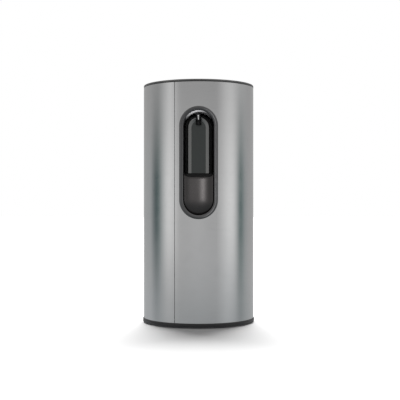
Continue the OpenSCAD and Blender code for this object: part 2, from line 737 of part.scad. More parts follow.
module paddle_spring() color("silver") {
    for (x = [-4:1.6:4]) translate([x, pivot_y, pivot_z]) rotate([0, 90, 0])
        rotate_extrude($fn = 40) translate([2.8, 0]) circle(0.85, $fn = 20);
    translate([-4, pivot_y + 2.8, 0]) disc(0.6, pivot_z - 18, pivot_z);
    translate([4, pivot_y - 2.8, 0]) disc(0.6, pivot_z - 18, pivot_z);
}

module trigger_switch() color("#1b1b1c") difference() {
    box([-10, liner_back_y + 2.1, trigger_z - 7], [10, -31, trigger_z + 7]);
    along(0, -45, -35, trigger_z, 1.8);
    for (x = [-7, 7]) along(x, -45, -30, trigger_z, 1.2);
}

module trigger_plunger() color("#b5322c") {
    along(0, -57.4, -39.4, trigger_z, 1.5);
}

// The cup's form: an oval front with a bowl-shaped bottom, and a flat-sided body behind it
module cup_solid(r, bulge, back) {
    intersection() {
        translate([0, cup_y, low_arc_z]) scale([1, bulge / r, 1]) union() {
            sphere(r);
            disc(r, 0, 80);
        }
        box([-far, -far, 0], [far, cup_y, 320]);
    }
    front_prism(cup_y, back) stadium(r, low_arc_z, 320);
}

// What is cut away above the rim: flat in the middle, rising in a quarter round at each side
module rim_outline() {
    translate([-mouth_r, rim_round]) square([2 * mouth_r, 100]);
    translate([rim_round - mouth_r, 0]) square([2 * (mouth_r - rim_round), 100]);
    for (x = [rim_round - mouth_r, mouth_r - rim_round]) translate([x, rim_round]) circle(rim_round);
}

module drip_cup() color("#3c3c3f") difference() {
    cup_solid(cup_r, cup_depth, cup_back_y);
    cup_solid(cup_r - cup_t, cup_depth - cup_t, cup_back_y - cup_t);
    translate([0, cup_y - cup_depth, cup_rim_z]) rotate([rim_tilt, 0, 0]) front_prism(-far, far) rim_outline();
}

module drip_grid() color("#8d9094") difference() {
    intersection() {
        union() {
            translate([0, cup_y, 0]) scale([1, (cup_depth - cup_t - 0.3) / grid_r, 1])
                disc(grid_r, low_arc_z - 3, low_arc_z - 1.4);
            box([-grid_r, cup_y, low_arc_z - 3], [grid_r, cup_back_y, low_arc_z - 1.4]);
        }
        box([-far, -far, 0], [far, cup_back_y - cup_t - 0.3, far]);
    }
    for (x = [-18:6:18]) box([x - 1.4, cup_y - 1, 0], [x + 1.4, cup_back_y - cup_t - 3, far]);
}

// ---- fill lid ----

module fill_lid() color("#303134") difference() {
    union() {
        rotate_extrude() {
            soft_section(0, lid_r, lid_bottom, lid_top, 1.2);
            square_section(44.5, 46.5, lid_bottom - 6, lid_bottom + 1);
            translate([46.4, lid_bottom - 3.5]) circle(1.6, $fn = 24);
        }
        box([-14.8, lid_r - 8, lid_bottom], [14.8, lid_axis_y, lid_top - 0.6]);
        across(-14.8, 14.8, lid_axis_y, lid_axis_z, lid_knuckle_r);
    }
    across(-20, 20, lid_axis_y, lid_axis_z, lid_pin_r + 0.08);
}

base_tray();
base_plate();
rubber_feet();
housing_screws();
rear_shell();
corner_posts();
shelf();
top_plate();
top_cap();
jamb_strip();
magnet_catches();
hinge_leaves_fixed();
hinge_pins();
rear_panel();
fill_funnel();
water_tank();
tank_lid();
float_stem();
tank_float();
filter_head();
filter_cartridge();
pump_motor();
pump_head();
pump_impeller();
chiller_can();
chiller_jacket();
cold_block();
peltier_module();
heat_sink();
fan_frame();
fan_rotor();
power_supply();
control_board();
board_parts();
board_bracket();
power_inlet();
inlet_pins();
switch_frame();
switch_rocker();
water_hoses();
door_skin();
door_ribs();
door_edges();
strike_plates();
hinge_leaves_door();
niche_bezel();
niche_retainer();
niche_liner();
liner_screws();
nozzle();
nozzle_insert();
door_hose();
paddle();
paddle_pin();
paddle_spring();
trigger_switch();
trigger_plunger();
drip_cup();
drip_grid();
fill_lid();
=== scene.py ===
"""Countertop water dispenser: the looks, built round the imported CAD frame. Metres, front towards -Y."""
import math
import bmesh
import bpy
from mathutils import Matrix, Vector


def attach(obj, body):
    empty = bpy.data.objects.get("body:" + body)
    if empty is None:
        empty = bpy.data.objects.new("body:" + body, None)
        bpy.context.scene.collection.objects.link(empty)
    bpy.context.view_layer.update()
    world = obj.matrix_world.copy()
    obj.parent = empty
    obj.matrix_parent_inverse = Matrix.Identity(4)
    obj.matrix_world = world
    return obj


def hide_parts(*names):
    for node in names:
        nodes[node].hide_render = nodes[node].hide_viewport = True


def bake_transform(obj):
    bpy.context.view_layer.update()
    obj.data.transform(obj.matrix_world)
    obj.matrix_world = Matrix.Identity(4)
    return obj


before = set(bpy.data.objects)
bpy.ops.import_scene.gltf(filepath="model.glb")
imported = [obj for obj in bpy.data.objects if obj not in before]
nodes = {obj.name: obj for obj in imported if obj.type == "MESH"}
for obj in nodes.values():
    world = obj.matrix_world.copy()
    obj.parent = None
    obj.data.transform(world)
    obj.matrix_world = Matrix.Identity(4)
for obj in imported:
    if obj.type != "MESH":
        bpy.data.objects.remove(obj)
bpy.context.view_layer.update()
MM = 0.001

# ---------------------------------------------------------------- dimensions, as in part.scad, in mm
R = 110.0
SKIN = 1.2
SKIN_Z0, SKIN_Z1 = 9.1, 467.8
SEAM, HINGE = -24.6, 118.0
SEAM_HALF = 0.2604
HINGE_GAP = 0.625
LOW_Z, TOP_Z = 243.8, 384.4
MOUTH = 29.3
BEZEL = 36.9
BEZEL_LIP = 1.5
LINER_FRONT, LINER_BACK, LINER_ROUND = -103.9, -44.0, 5.0
PIVOT_Y, PIVOT_Z = -50.0, 390.0
PAD_R, PAD_Y, PAD_LOW = 20.6, -60.0, 264.0
NOZ_Y, NOZ_Z = -67.0, 389.0
CUP_R, CUP_OUT, CUP_Y, CUP_BACK, CUP_T = MOUTH - 0.4, 6.0, -102.8, -66.0, 2.0
RIM_Z, RIM_TILT, RIM_ROUND, RIM_LIP = 286.7, 8.0, 10.0, 0.55
PANEL_X, PANEL_Z0, PANEL_Z1 = 37.4, 22.4, 53.6
HOSE_R = 3.95
FOOT_AZIMUTHS, FOOT_RING, FOOT_HOLE = (18, 140, 220, 342), 86, 8.7
POSTS = ((SEAM - 7.5, 93), (-118, 93), (151, 93), (126.5, 98))

# ---------------------------------------------------------------- camera
cam_data = bpy.data.cameras.new("camera")
cam = bpy.data.objects.new("camera", cam_data)
bpy.context.scene.collection.objects.link(cam)
cam.location = (0.0, -1.774, 0.2349)
cam.rotation_euler = (math.pi / 2, 0, 0)
cam_data.sensor_width = 36.0
cam_data.lens = 79.2
cam_data.shift_x = 0.0035
cam_data.shift_y = 0.0110
cam_data.clip_start = 0.05
bpy.context.scene.camera = cam


# ---------------------------------------------------------------- mesh helpers
def add_object(name, mesh, mats=()):
    """A mesh as an object in the scene."""
    ob = bpy.data.objects.new(name, mesh)
    bpy.context.scene.collection.objects.link(ob)
    for m in mats:
        mesh.materials.append(m)
    return ob


def from_rings(name, rings, mat, caps=(False, False), loop=False, sharp=35.0):
    """A skin over rings of points in mm; caps close the end rings, loop joins the last to the first."""
    n = len(rings[0])
    pts = [Vector(p) * MM for ring in rings for p in ring]
    faces = []
    for a in range(len(rings) if loop else len(rings) - 1):
        b = (a + 1) % len(rings)
        for k in range(n):
            m = (k + 1) % n
            faces.append((a * n + k, a * n + m, b * n + m, b * n + k))
    if caps[0]:
        faces.append(tuple(range(n - 1, -1, -1)))
    if caps[1]:
        base = (len(rings) - 1) * n
        faces.append(tuple(base + k for k in range(n)))
    me = bpy.data.meshes.new(name)
    me.from_pydata(pts, [], faces)
    tidy(me, sharp)
    return add_object(name, me, [mat])


def tidy(me, sharp=35.0, merge=1e-7):
    """Merges doubled points, turns every face outward, and marks edges steeper than sharp degrees."""
    bm = bmesh.new()
    bm.from_mesh(me)
    bmesh.ops.remove_doubles(bm, verts=bm.verts, dist=merge)
    bmesh.ops.dissolve_degenerate(bm, edges=bm.edges, dist=merge)
    bmesh.ops.recalc_face_normals(bm, faces=bm.faces)
    for f in bm.faces:
        f.smooth = True
    for e in bm.edges:
        e.smooth = len(e.link_faces) != 2 or e.calc_face_angle(0) < math.radians(sharp)
    bm.to_mesh(me)
    bm.free()
    me.update()


def join(name, parts):
    """Several objects as one."""
    bm = bmesh.new()
    mats = []
    for p in parts:
        for m in p.data.materials:
            if m not in mats:
                mats.append(m)
    for p in parts:
        me = p.data.copy()
        me.transform(p.matrix_basis)
        index = [mats.index(m) for m in p.data.materials]
        for poly in me.polygons:
            poly.material_index = index[poly.material_index] if index else 0
        bm.from_mesh(me)
        bpy.data.meshes.remove(me)
        old = p.data
        bpy.data.objects.remove(p)
        bpy.data.meshes.remove(old)
    me = bpy.data.meshes.new(name)
    bm.to_mesh(me)
    bm.free()
    return add_object(name, me, mats)


def rounded(points, radii, steps=5):
    """A 2D outline whose corners are rounded by the radii given for each."""
    out = []
    n = len(points)
    for i in range(n):
        p, a, b = Vector(points[i]), Vector(points[i - 1]), Vector(points[(i + 1) % n])
        r = radii[i] if hasattr(radii, "__len__") else radii
        u, v = (a - p).normalized(), (b - p).normalized()
        ang = u.angle(v, 0)
        if r <= 0 or ang < 0.02 or ang > math.pi - 0.02:
            out.append(tuple(p))
            continue
        d = min(r / math.tan(ang / 2), (a - p).length * 0.49, (b - p).length * 0.49)
        r = d * math.tan(ang / 2)
        c = p + (u + v).normalized() * (r / math.sin(ang / 2))
        s, e = p + u * d - c, p + v * d - c
        turn = math.atan2(s.x * e.y - s.y * e.x, s.dot(e))
        for k in range(steps + 1):
            t = turn * k / steps
            cosine, sine = math.cos(t), math.sin(t)
            out.append((c.x + s.x * cosine - s.y * sine, c.y + s.x * sine + s.y * cosine))
    return out


def arc_points(cx, cy, r, a0, a1, n):
    """Points along an arc, from a0 to a1 degrees."""
    turns = [math.radians(a0 + (a1 - a0) * k / n) for k in range(n + 1)]
    return [(cx + r * math.cos(a), cy + r * math.sin(a)) for a in turns]


def lathe(name, outline, mat, centre=(0, 0), segs=192, sharp=35.0, closed=True):
    """An (r, z) outline turned round a vertical axis; closed joins its last point to the first."""
    turns = [2 * math.pi * k / segs for k in range(segs)]
    cx, cy = centre
    rings = [[(cx + r * math.sin(a), cy - r * math.cos(a), z) for a in turns] for r, z in outline]
    return from_rings(name, rings, mat, loop=closed, sharp=sharp)


def stadium(z0=LOW_Z, z1=TOP_Z, arc=40, side=12):
    """Points round a long round-ended outline, as (cx, cz, nx, nz): centre and outward direction."""
    out = []
    for k in range(arc + 1):
        a = math.pi * k / arc
        out.append((0, z1, math.cos(a), math.sin(a)))
    for k in range(1, side):
        out.append((0, z1 + (z0 - z1) * k / side, -1, 0))
    for k in range(arc + 1):
        a = math.pi + math.pi * k / arc
        out.append((0, z0, math.cos(a), math.sin(a)))
    for k in range(1, side):
        out.append((0, z0 + (z1 - z0) * k / side, 1, 0))
    return out


def sweep(name, section, mat, path=None, loop=True, sharp=35.0, caps=(False, False)):
    """A section of (r, y) points carried round the stadium path; y is a number or a function of x."""
    path = path or stadium()
    rows = []
    for r, y in section:
        row = []
        for cx, cz, nx, nz in path:
            x = cx + r * nx
            row.append((x, y(x) if callable(y) else y, cz + r * nz))
        rows.append(row)
    return from_rings(name, rows, mat, loop=loop, sharp=sharp, caps=caps)


def on_drum(h):
    """The y of a surface h above the drum, at x."""
    return lambda x: -math.sqrt((R + h) ** 2 - x * x)


def box_mesh(name, lo, hi, mat):
    """A plain box between two corners."""
    me = bpy.data.meshes.new(name)
    bm = bmesh.new()
    bmesh.ops.create_cube(bm, size=1)
    for v in bm.verts:
        for i in range(3):
            v.co[i] = (lo[i] if v.co[i] < 0 else hi[i]) * MM
    bm.to_mesh(me)
    bm.free()
    tidy(me, 60)
    return add_object(name, me, [mat])


def tube(name, points, radius, mat, segs=20):
    """A round tube along a smooth curve through points in mm, with parallel-transported rings."""
    pts = [Vector(p) for p in points]
    fine = []
    for i in range(len(pts) - 1):
        a, b, c, d = pts[max(i - 1, 0)], pts[i], pts[i + 1], pts[min(i + 2, len(pts) - 1)]
        n = max(4, int((c - b).length / 3))
        for k in range(n):
            t = k / n
            fine.append(0.5 * (2 * b + (c - a) * t + (2 * a - 5 * b + 4 * c - d) * t * t
                               + (3 * b - a - 3 * c + d) * t ** 3))
    fine.append(pts[-1])
    rings = []
    ref = None
    for i, p in enumerate(fine):
        if i == 0:
            t = pts[1] - pts[0]
        elif i == len(fine) - 1:
            t = pts[-1] - pts[-2]
        else:
            t = fine[i + 1] - fine[i - 1]
        t.normalize()
        if ref is None:
            ref = t.orthogonal().normalized()
        ref = (ref - t * ref.dot(t)).normalized()
        side = t.cross(ref)
        turns = [2 * math.pi * k / segs for k in range(segs)]
        rings.append([tuple(p + (ref * math.cos(a) + side * math.sin(a)) * radius) for a in turns])
    return from_rings(name, rings, mat, caps=(True, True))


def evaluated(ob):
    """Applies the object's modifiers."""
    dg = bpy.context.evaluated_depsgraph_get()
    me = bpy.data.meshes.new_from_object(ob.evaluated_get(dg))
    old = ob.data
    ob.modifiers.clear()
    ob.data = me
    bpy.data.meshes.remove(old)
    return ob


def cut(ob, cutters):
    """Takes the cutters out of the object, and removes them."""
    for c in cutters:
        m = ob.modifiers.new("cut", "BOOLEAN")
        m.operation = "DIFFERENCE"
        m.solver = "EXACT"
        m.object = c
    evaluated(ob)
    for c in cutters:
        old = c.data
        bpy.data.objects.remove(c)
        bpy.data.meshes.remove(old)
    return ob


def bevelled(ob, width, segs=2, limit=40):
    """Rounds every edge steeper than limit degrees."""
    m = ob.modifiers.new("soft", "BEVEL")
    m.width = width * MM
    m.segments = segs
    m.limit_method = "ANGLE"
    m.angle_limit = math.radians(limit)
    m.use_clamp_overlap = True
    return evaluated(ob)


def cylinder_uv(ob, per=100.0):
    """UVs unrolled round the drum's axis: u along the circumference and v up, both in units of per mm."""
    me = ob.data
    uv = me.uv_layers.new(name="UVMap") if not me.uv_layers else me.uv_layers[0]
    for poly in me.polygons:
        ref = None
        for li in poly.loop_indices:
            co = me.vertices[me.loops[li].vertex_index].co
            a = math.atan2(co.x, -co.y)
            if ref is None:
                ref = math.atan2(poly.center.x, -poly.center.y)
            while a - ref > math.pi:
                a -= 2 * math.pi
            while a - ref < -math.pi:
                a += 2 * math.pi
            uv.data[li].uv = (a * R / per, co.z / MM / per)


def radial_normals(ob, tol=2.0):
    """Exact normals on the drum's own faces, ordinary smooth ones on the rest."""
    me = ob.data
    me.update()
    cos_tol = math.cos(math.radians(tol))
    radial = {}
    for poly in me.polygons:
        c, n = poly.center, poly.normal
        h = Vector((c.x, c.y, 0)).normalized()
        radial[poly.index] = 1 if n.dot(h) > cos_tol else -1 if n.dot(h) < -cos_tol else 0
    soft = {}
    for poly in me.polygons:
        if not radial[poly.index]:
            for v in poly.vertices:
                soft[v] = soft.get(v, Vector()) + poly.normal * poly.area
    onskin = {}
    for poly in me.polygons:
        if radial[poly.index]:
            for v in poly.vertices:
                onskin[v] = radial[poly.index]
    out = [None] * len(me.loops)
    for poly in me.polygons:
        for li in poly.loop_indices:
            vi = me.loops[li].vertex_index
            co = me.vertices[vi].co
            h = Vector((co.x, co.y, 0)).normalized()
            if radial[poly.index]:
                out[li] = h * radial[poly.index]
            elif vi in onskin:
                out[li] = h * onskin[vi]
            else:
                s = soft[vi].normalized()
                out[li] = s if s.dot(poly.normal) > 0.8 else poly.normal.copy()
    for poly in me.polygons:
        poly.use_smooth = True
    me.normals_split_custom_set(out)


# ---------------------------------------------------------------- material helpers
def new_mat(name):
    """A material with one Principled shader, as (material, node tree, shader)."""
    m = bpy.data.materials.new(name)
    m.use_nodes = True
    m.node_tree.nodes.clear()
    out = m.node_tree.nodes.new("ShaderNodeOutputMaterial")
    b = m.node_tree.nodes.new("ShaderNodeBsdfPrincipled")
    m.node_tree.links.new(b.outputs[0], out.inputs[0])
    return m, m.node_tree, b


def link(t, value, socket):
    """Feeds an input from a value, a socket or a node's first output."""
    if hasattr(value, "outputs"):
        value = value.outputs[0]
    if isinstance(value, bpy.types.NodeSocket):
        t.links.new(value, socket)
    else:
        socket.default_value = value


def node(t, kind, inputs=None, **props):
    """A node with its properties and inputs set."""
    n = t.nodes.new(kind)
    for k, v in props.items():
        setattr(n, k, v)
    for k, v in (inputs or {}).items():
        link(t, v, n.inputs[k])
    return n


def maths(t, op, a, b):
    """One operation on two inputs."""
    return node(t, "ShaderNodeMath", {0: a, 1: b}, operation=op)


def add(t, a, b):
    """a plus b."""
    return maths(t, "ADD", a, b)


def times(t, a, b):
    """a times b."""
    return maths(t, "MULTIPLY", a, b)


def mix_rgb(t, fac, a, b, blend="MIX"):
    """Colour a mixed with colour b."""
    n = node(t, "ShaderNodeMix", None, data_type="RGBA", blend_type=blend)
    for socket, v in ((0, fac), (6, a), (7, b)):
        link(t, v, n.inputs[socket])
    return n.outputs[2]


def scaled(t, colour, tone):
    """A colour times a varying tone."""
    comb = node(t, "ShaderNodeCombineXYZ", {0: tone, 1: tone, 2: tone})
    return node(t, "ShaderNodeVectorMath", {0: tuple(colour), 1: comb}, operation="MULTIPLY")


def coords(t, scale, space="Object", rot=(0, 0, 0)):
    """Texture coordinates, turned and scaled."""
    tc = node(t, "ShaderNodeTexCoord")
    mp = node(t, "ShaderNodeMapping", {"Scale": scale, "Rotation": rot})
    t.links.new(tc.outputs[space], mp.inputs["Vector"])
    return mp


def noise(t, vec, scale=1.0, detail=3.0, rough=0.5, distortion=0.0):
    """Fractal noise, from 0 to 1."""
    return node(t, "ShaderNodeTexNoise", {"Vector": vec, "Scale": scale, "Detail": detail,
                                          "Roughness": rough, "Distortion": distortion})


def remap(t, value, lo, hi, a=0.0, b=1.0):
    """Takes value from the range a to b into the range lo to hi, clamped."""
    return node(t, "ShaderNodeMapRange", {"Value": value, "From Min": a, "From Max": b,
                                          "To Min": lo, "To Max": hi})


def bump(t, height, strength, distance):
    """A normal that follows a height, with its distance in metres."""
    return node(t, "ShaderNodeBump", {"Strength": strength, "Distance": distance, "Height": height})


def rgba(c, k=1.0):
    """A colour times k, with full alpha."""
    return (c[0] * k, c[1] * k, c[2] * k, 1.0)


def steel(name, base, rough=0.22, aniso=0.35):
    """Brushed stainless sheet: fine scratches round the drum, slow clouds, smudges, a few deeper lines."""
    m, t, b = new_mat(name)
    b.inputs["Metallic"].default_value = 1.0
    b.inputs["Anisotropic"].default_value = aniso
    fine = noise(t, coords(t, (2.2, 300.0, 1.0), "UV"), 1.0, 4.0, 0.65)
    hair = noise(t, coords(t, (0.7, 900.0, 1.0), "UV"), 1.0, 2.0, 0.6)
    cloud = noise(t, coords(t, (1.1, 1.6, 1.3), "UV"), 1.0, 3.0, 0.55)
    smudge = noise(t, coords(t, (3.5, 3.0, 3.0), "UV"), 1.0, 4.0, 0.6, 0.6)
    scratch = noise(t, coords(t, (1.6, 70.0, 1.0), "UV"), 1.0, 1.0, 0.5)
    deep = remap(t, scratch, 0.0, 1.0, 0.70, 0.78)
    tone = add(t, remap(t, fine, 0.97, 1.03, 0.3, 0.7), remap(t, cloud, -0.02, 0.02, 0.3, 0.7))
    tone = add(t, tone, remap(t, hair, -0.03, 0.03, 0.3, 0.7))
    tone = maths(t, "SUBTRACT", tone, times(t, deep, 0.05))
    col = scaled(t, base, tone)
    greasy = mix_rgb(t, remap(t, smudge, 0.0, 0.10, 0.5, 0.75), (1, 1, 1, 1), (0.88, 0.885, 0.88, 1))
    link(t, mix_rgb(t, 1.0, col.outputs[0], greasy, "MULTIPLY"), b.inputs["Base Color"])
    r = add(t, remap(t, cloud, rough - 0.015, rough + 0.02, 0.3, 0.7), remap(t, smudge, 0.0, 0.035, 0.5, 0.8))
    link(t, add(t, r, remap(t, fine, -0.02, 0.02, 0.3, 0.7)), b.inputs["Roughness"])
    h = add(t, times(t, fine, 0.5), times(t, hair, 0.5))
    h = maths(t, "SUBTRACT", h, times(t, deep, 0.5))
    link(t, bump(t, h, 0.06, 0.00003), b.inputs["Normal"])
    link(t, node(t, "ShaderNodeTangent", None, direction_type="UV_MAP", uv_map="UVMap"), b.inputs["Tangent"])
    return m


def plain_metal(name, base, rough=0.35, spangle=0.0, brushed=(900, 900, 900)):
    """Sheet, cast or machined metal with rolled grain, zinc spangle or tool marks."""
    m, t, b = new_mat(name)
    b.inputs["Metallic"].default_value = 1.0
    cloud = noise(t, coords(t, (28, 28, 28)), 1.0, 4.0, 0.6)
    fine = noise(t, coords(t, brushed), 1.0, 3.0, 0.6)
    tone = add(t, remap(t, cloud, -0.09, 0.09, 0.3, 0.7), remap(t, fine, 0.94, 1.06, 0.25, 0.75))
    if spangle:
        cells = node(t, "ShaderNodeTexVoronoi", {"Vector": coords(t, (160, 160, 160)), "Scale": 1.0})
        sep = node(t, "ShaderNodeSeparateColor", {0: cells.outputs["Color"]})
        tone = add(t, tone, remap(t, sep, -spangle, spangle))
    col = scaled(t, base, tone)
    spot = noise(t, coords(t, (60, 60, 60)), 1.0, 5.0, 0.7)
    dirt = remap(t, spot, 0.0, 1.0, 0.62, 0.75)
    link(t, mix_rgb(t, times(t, dirt, 0.35), col.outputs[0], rgba(base, 0.55)), b.inputs["Base Color"])
    rr = add(t, remap(t, cloud, rough - 0.06, rough + 0.08, 0.3, 0.7), times(t, dirt, 0.15))
    link(t, rr, b.inputs["Roughness"])
    link(t, bump(t, fine, 0.18, 0.00005), b.inputs["Normal"])
    return m


def satin(name, base, rough):
    """Metallic satin paint: flakes, slow drift and light rub marks."""
    m, t, b = new_mat(name)
    b.inputs["Metallic"].default_value = 1.0
    slow = noise(t, coords(t, (20, 20, 20)), 1.0, 4.0, 0.6)
    flake = node(t, "ShaderNodeTexVoronoi", {"Vector": coords(t, (2600, 2600, 2600)), "Scale": 1.0})
    sep = node(t, "ShaderNodeSeparateColor", {0: flake.outputs["Color"]})
    rub = noise(t, coords(t, (40, 40, 260), rot=(0.1, 0.3, 0.2)), 1.0, 3.0, 0.7)
    line = remap(t, rub, 0.0, 1.0, 0.70, 0.80)
    tone = add(t, remap(t, slow, 0.95, 1.05, 0.3, 0.7), remap(t, sep, -0.08, 0.08))
    tone = add(t, tone, times(t, line, 0.10))
    col = scaled(t, base, tone)
    link(t, col, b.inputs["Base Color"])
    rr = add(t, remap(t, slow, rough - 0.03, rough + 0.03, 0.3, 0.7), times(t, line, 0.06))
    link(t, rr, b.inputs["Roughness"])
    link(t, bump(t, flake.outputs["Distance"], 0.05, 0.00003), b.inputs["Normal"])
    return m


def plastic(name, base, rough=0.45, grain=1400.0, bumpy=0.12, mottle=0.06, spec=0.5, dust=0.0, depth=0.00004):
    """Moulded plastic: spark-eroded grain, slow colour drift, smudges, dust and faint scuffs."""
    m, t, b = new_mat(name)
    b.inputs["Specular IOR Level"].default_value = spec
    slow = noise(t, coords(t, (22, 22, 22)), 1.0, 4.0, 0.6)
    fine = noise(t, coords(t, (grain, grain, grain)), 1.0, 2.0, 0.6)
    cells = node(t, "ShaderNodeTexVoronoi", {"Vector": coords(t, (grain * 0.6,) * 3), "Scale": 1.0})
    scuff = noise(t, coords(t, (30, 260, 90), rot=(0.2, 0.4, 0.9)), 1.0, 3.0, 0.7)
    line = remap(t, scuff, 0.0, 1.0, 0.70, 0.80)
    tone = add(t, remap(t, slow, 1 - mottle, 1 + mottle, 0.3, 0.7), remap(t, fine, -0.03, 0.03, 0.3, 0.7))
    col = scaled(t, base, tone)
    light = tuple(min(1.0, c * 1.25 + 0.03) for c in base[:3]) + (1.0,)
    c1 = mix_rgb(t, times(t, line, 0.35), col.outputs[0], light)
    if dust:
        geo = node(t, "ShaderNodeNewGeometry")
        sep = node(t, "ShaderNodeSeparateXYZ", {0: geo.outputs["Normal"]})
        up = remap(t, sep.outputs[2], 0.0, 1.0, 0.3, 1.0)
        specks = remap(t, noise(t, coords(t, (420, 420, 420)), 1.0, 4.0, 0.7), 0.0, 1.0, 0.5, 0.75)
        c1 = mix_rgb(t, times(t, times(t, up, specks), dust), c1, (0.55, 0.54, 0.52, 1))
    link(t, c1, b.inputs["Base Color"])
    rr = add(t, remap(t, slow, rough - 0.05, rough + 0.05, 0.3, 0.7), times(t, line, 0.12))
    link(t, add(t, rr, remap(t, fine, -0.03, 0.03, 0.3, 0.7)), b.inputs["Roughness"])
    h = add(t, fine, times(t, cells.outputs["Distance"], 0.6))
    link(t, bump(t, h, bumpy, depth), b.inputs["Normal"])
    return m


# ---------------------------------------------------------------- materials
M = {
    "skin": steel("steel_skin", (0.62, 0.62, 0.62), 0.185),
    "zinc": plain_metal("zinc_sheet", (0.60, 0.61, 0.62), 0.38, spangle=0.10),
    "post": plain_metal("drawn_post", (0.58, 0.59, 0.60), 0.34, brushed=(900, 900, 12)),
    "screw": plain_metal("screw_steel", (0.66, 0.66, 0.65), 0.28, brushed=(1500, 1500, 200)),
    "hinge": plain_metal("hinge_steel", (0.42, 0.425, 0.43), 0.36, brushed=(1200, 1200, 60)),
    "pin": plain_metal("ground_pin", (0.74, 0.74, 0.74), 0.2, brushed=(60, 60, 2600)),
    "alu": plain_metal("extruded_aluminium", (0.72, 0.73, 0.74), 0.36, brushed=(60, 1400, 1400)),
    "psu": plain_metal("supply_case", (0.66, 0.67, 0.68), 0.42, spangle=0.05),
    "strike": plain_metal("strike_steel", (0.45, 0.45, 0.46), 0.45),
    "chrome": plain_metal("polished_insert", (0.88, 0.88, 0.87), 0.14, brushed=(60, 60, 1800)),
    "brass": plain_metal("plated_blade", (0.83, 0.68, 0.36), 0.3, brushed=(80, 1500, 80)),
    "trim": plastic("dark_trim", (0.022, 0.0225, 0.024), 0.42, dust=0.05),
    "cap": satin("cap_satin", (0.172, 0.170, 0.167), 0.36),
    "lid": satin("lid_satin", (0.145, 0.1435, 0.142), 0.33),
    "jamb": plastic("jamb_grey", (0.20, 0.20, 0.205), 0.5),
    "bezel": satin("bezel_satin", (0.125, 0.124, 0.126), 0.30),
    # the liner's front wall: a light grey standing in for light on the niche ceiling, painted light
    "wall": plastic("liner_wall_painted_light", (0.40, 0.40, 0.41), 0.45, grain=1500, bumpy=0.06),
    "liner": plastic("liner_black", (0.008, 0.008, 0.0085), 0.42, grain=1500, bumpy=0.05, spec=0.35),
    "paddle": satin("paddle_grey", (0.088, 0.094, 0.092), 0.30),
    # the paddle's satin made lighter: a painted highlight for its rim
    "paddle_edge_highlight": satin("paddle_edge_highlight", (0.26, 0.26, 0.255), 0.28),
    "nozzle": plastic("nozzle_black", (0.010, 0.010, 0.011), 0.38, grain=1500, bumpy=0.04, spec=0.3),
    "cup": satin("cup_satin", (0.078, 0.0735, 0.073), 0.27),
    # near-black: painted shade for the shadowed inside of the cup
    "cup_in": plastic("cup_inside_painted_shade", (0.009, 0.009, 0.0095), 0.5, grain=1500, bumpy=0.05, spec=0.3),
    "seal": plastic("seal_rubber", (0.018, 0.018, 0.018), 0.72, grain=700, bumpy=0.3, dust=0.15),
    "foam": plastic("foam", (0.045, 0.045, 0.047), 0.88, grain=420, bumpy=0.7, mottle=0.15, spec=0.2,
                    depth=0.0003),
    "white": plastic("white_plastic", (0.74, 0.75, 0.75), 0.34, grain=1300, bumpy=0.06, dust=0.05),
    "hose": plastic("silicone_hose", (0.70, 0.73, 0.74), 0.38, grain=900, bumpy=0.05, mottle=0.03),
    "orange": plastic("float_orange", (0.78, 0.24, 0.05), 0.38),
    "red": plastic("plunger_red", (0.52, 0.04, 0.03), 0.34),
    "black": plastic("moulded_black", (0.020, 0.020, 0.021), 0.44, dust=0.06),
    "rotor": plastic("rotor_black", (0.035, 0.035, 0.037), 0.40),
    "chip": plastic("component_black", (0.03, 0.03, 0.032), 0.5),
    "ceramic": plastic("ceramic_white", (0.80, 0.80, 0.77), 0.55, mottle=0.03),
    "catch": plastic("catch_grey", (0.06, 0.06, 0.062), 0.5),
}


def clear_tank():
    """Cloudy translucent plastic with a film of lime."""
    m, t, b = new_mat("tank_clear")
    slow = noise(t, coords(t, (18, 18, 18)), 1.0, 4.0, 0.6)
    film = noise(t, coords(t, (40, 40, 9)), 1.0, 5.0, 0.65)
    link(t, mix_rgb(t, slow, (0.80, 0.88, 0.92, 1), (0.90, 0.95, 0.97, 1)), b.inputs["Base Color"])
    link(t, remap(t, film, 0.12, 0.34, 0.3, 0.7), b.inputs["Roughness"])
    b.inputs["Alpha"].default_value = 0.42
    b.inputs["Specular IOR Level"].default_value = 0.6
    link(t, bump(t, noise(t, coords(t, (120, 120, 30)), 1.0, 3.0, 0.5), 0.15, 0.0003), b.inputs["Normal"])
    return m


def board_green():
    """Solder mask over copper: square cells like tracks, and fine wavy lines."""
    m, t, b = new_mat("solder_mask")
    cells = node(t, "ShaderNodeTexVoronoi", {"Vector": coords(t, (1, 260, 150)), "Scale": 1.0},
                 distance="CHEBYCHEV")
    tracks = remap(t, cells.outputs["Distance"], 0.0, 1.0, 0.30, 0.42)
    bands = node(t, "ShaderNodeTexWave", {"Vector": coords(t, (1, 1, 1)), "Scale": 160.0, "Distortion": 6.0,
                                          "Detail": 1.0}, bands_direction="Z")
    lines = remap(t, bands, 0.0, 1.0, 0.75, 0.85)
    both = maths(t, "MAXIMUM", tracks, times(t, lines, 0.6))
    link(t, mix_rgb(t, both, (0.010, 0.085, 0.045, 1), (0.028, 0.17, 0.085, 1)), b.inputs["Base Color"])
    link(t, remap(t, both, 0.28, 0.38), b.inputs["Roughness"])
    b.inputs["Coat Weight"].default_value = 0.3
    link(t, bump(t, both, 0.4, 0.00008), b.inputs["Normal"])
    return m


def paint_lit_ceiling(m):
    """The liner's front wall: painted light, grey across the ceiling overhead, running into black down its
    sides.
    """
    t = m.node_tree
    b = next(n for n in t.nodes if n.type == "BSDF_PRINCIPLED")
    made = b.inputs["Base Color"].links[0].from_socket
    height = node(t, "ShaderNodeSeparateXYZ", {0: coords(t, (1, 1, 1))}).outputs[2]
    # painted light: grey above 0.418 m, black below 0.400 m
    grey = remap(t, height, 0.0, 1.0, 0.400, 0.418)
    link(t, mix_rgb(t, grey, (0.008, 0.008, 0.0085, 1), made), b.inputs["Base Color"])
    return m


paint_lit_ceiling(M["wall"])
M["tank"] = clear_tank()
M["pcb"] = board_green()

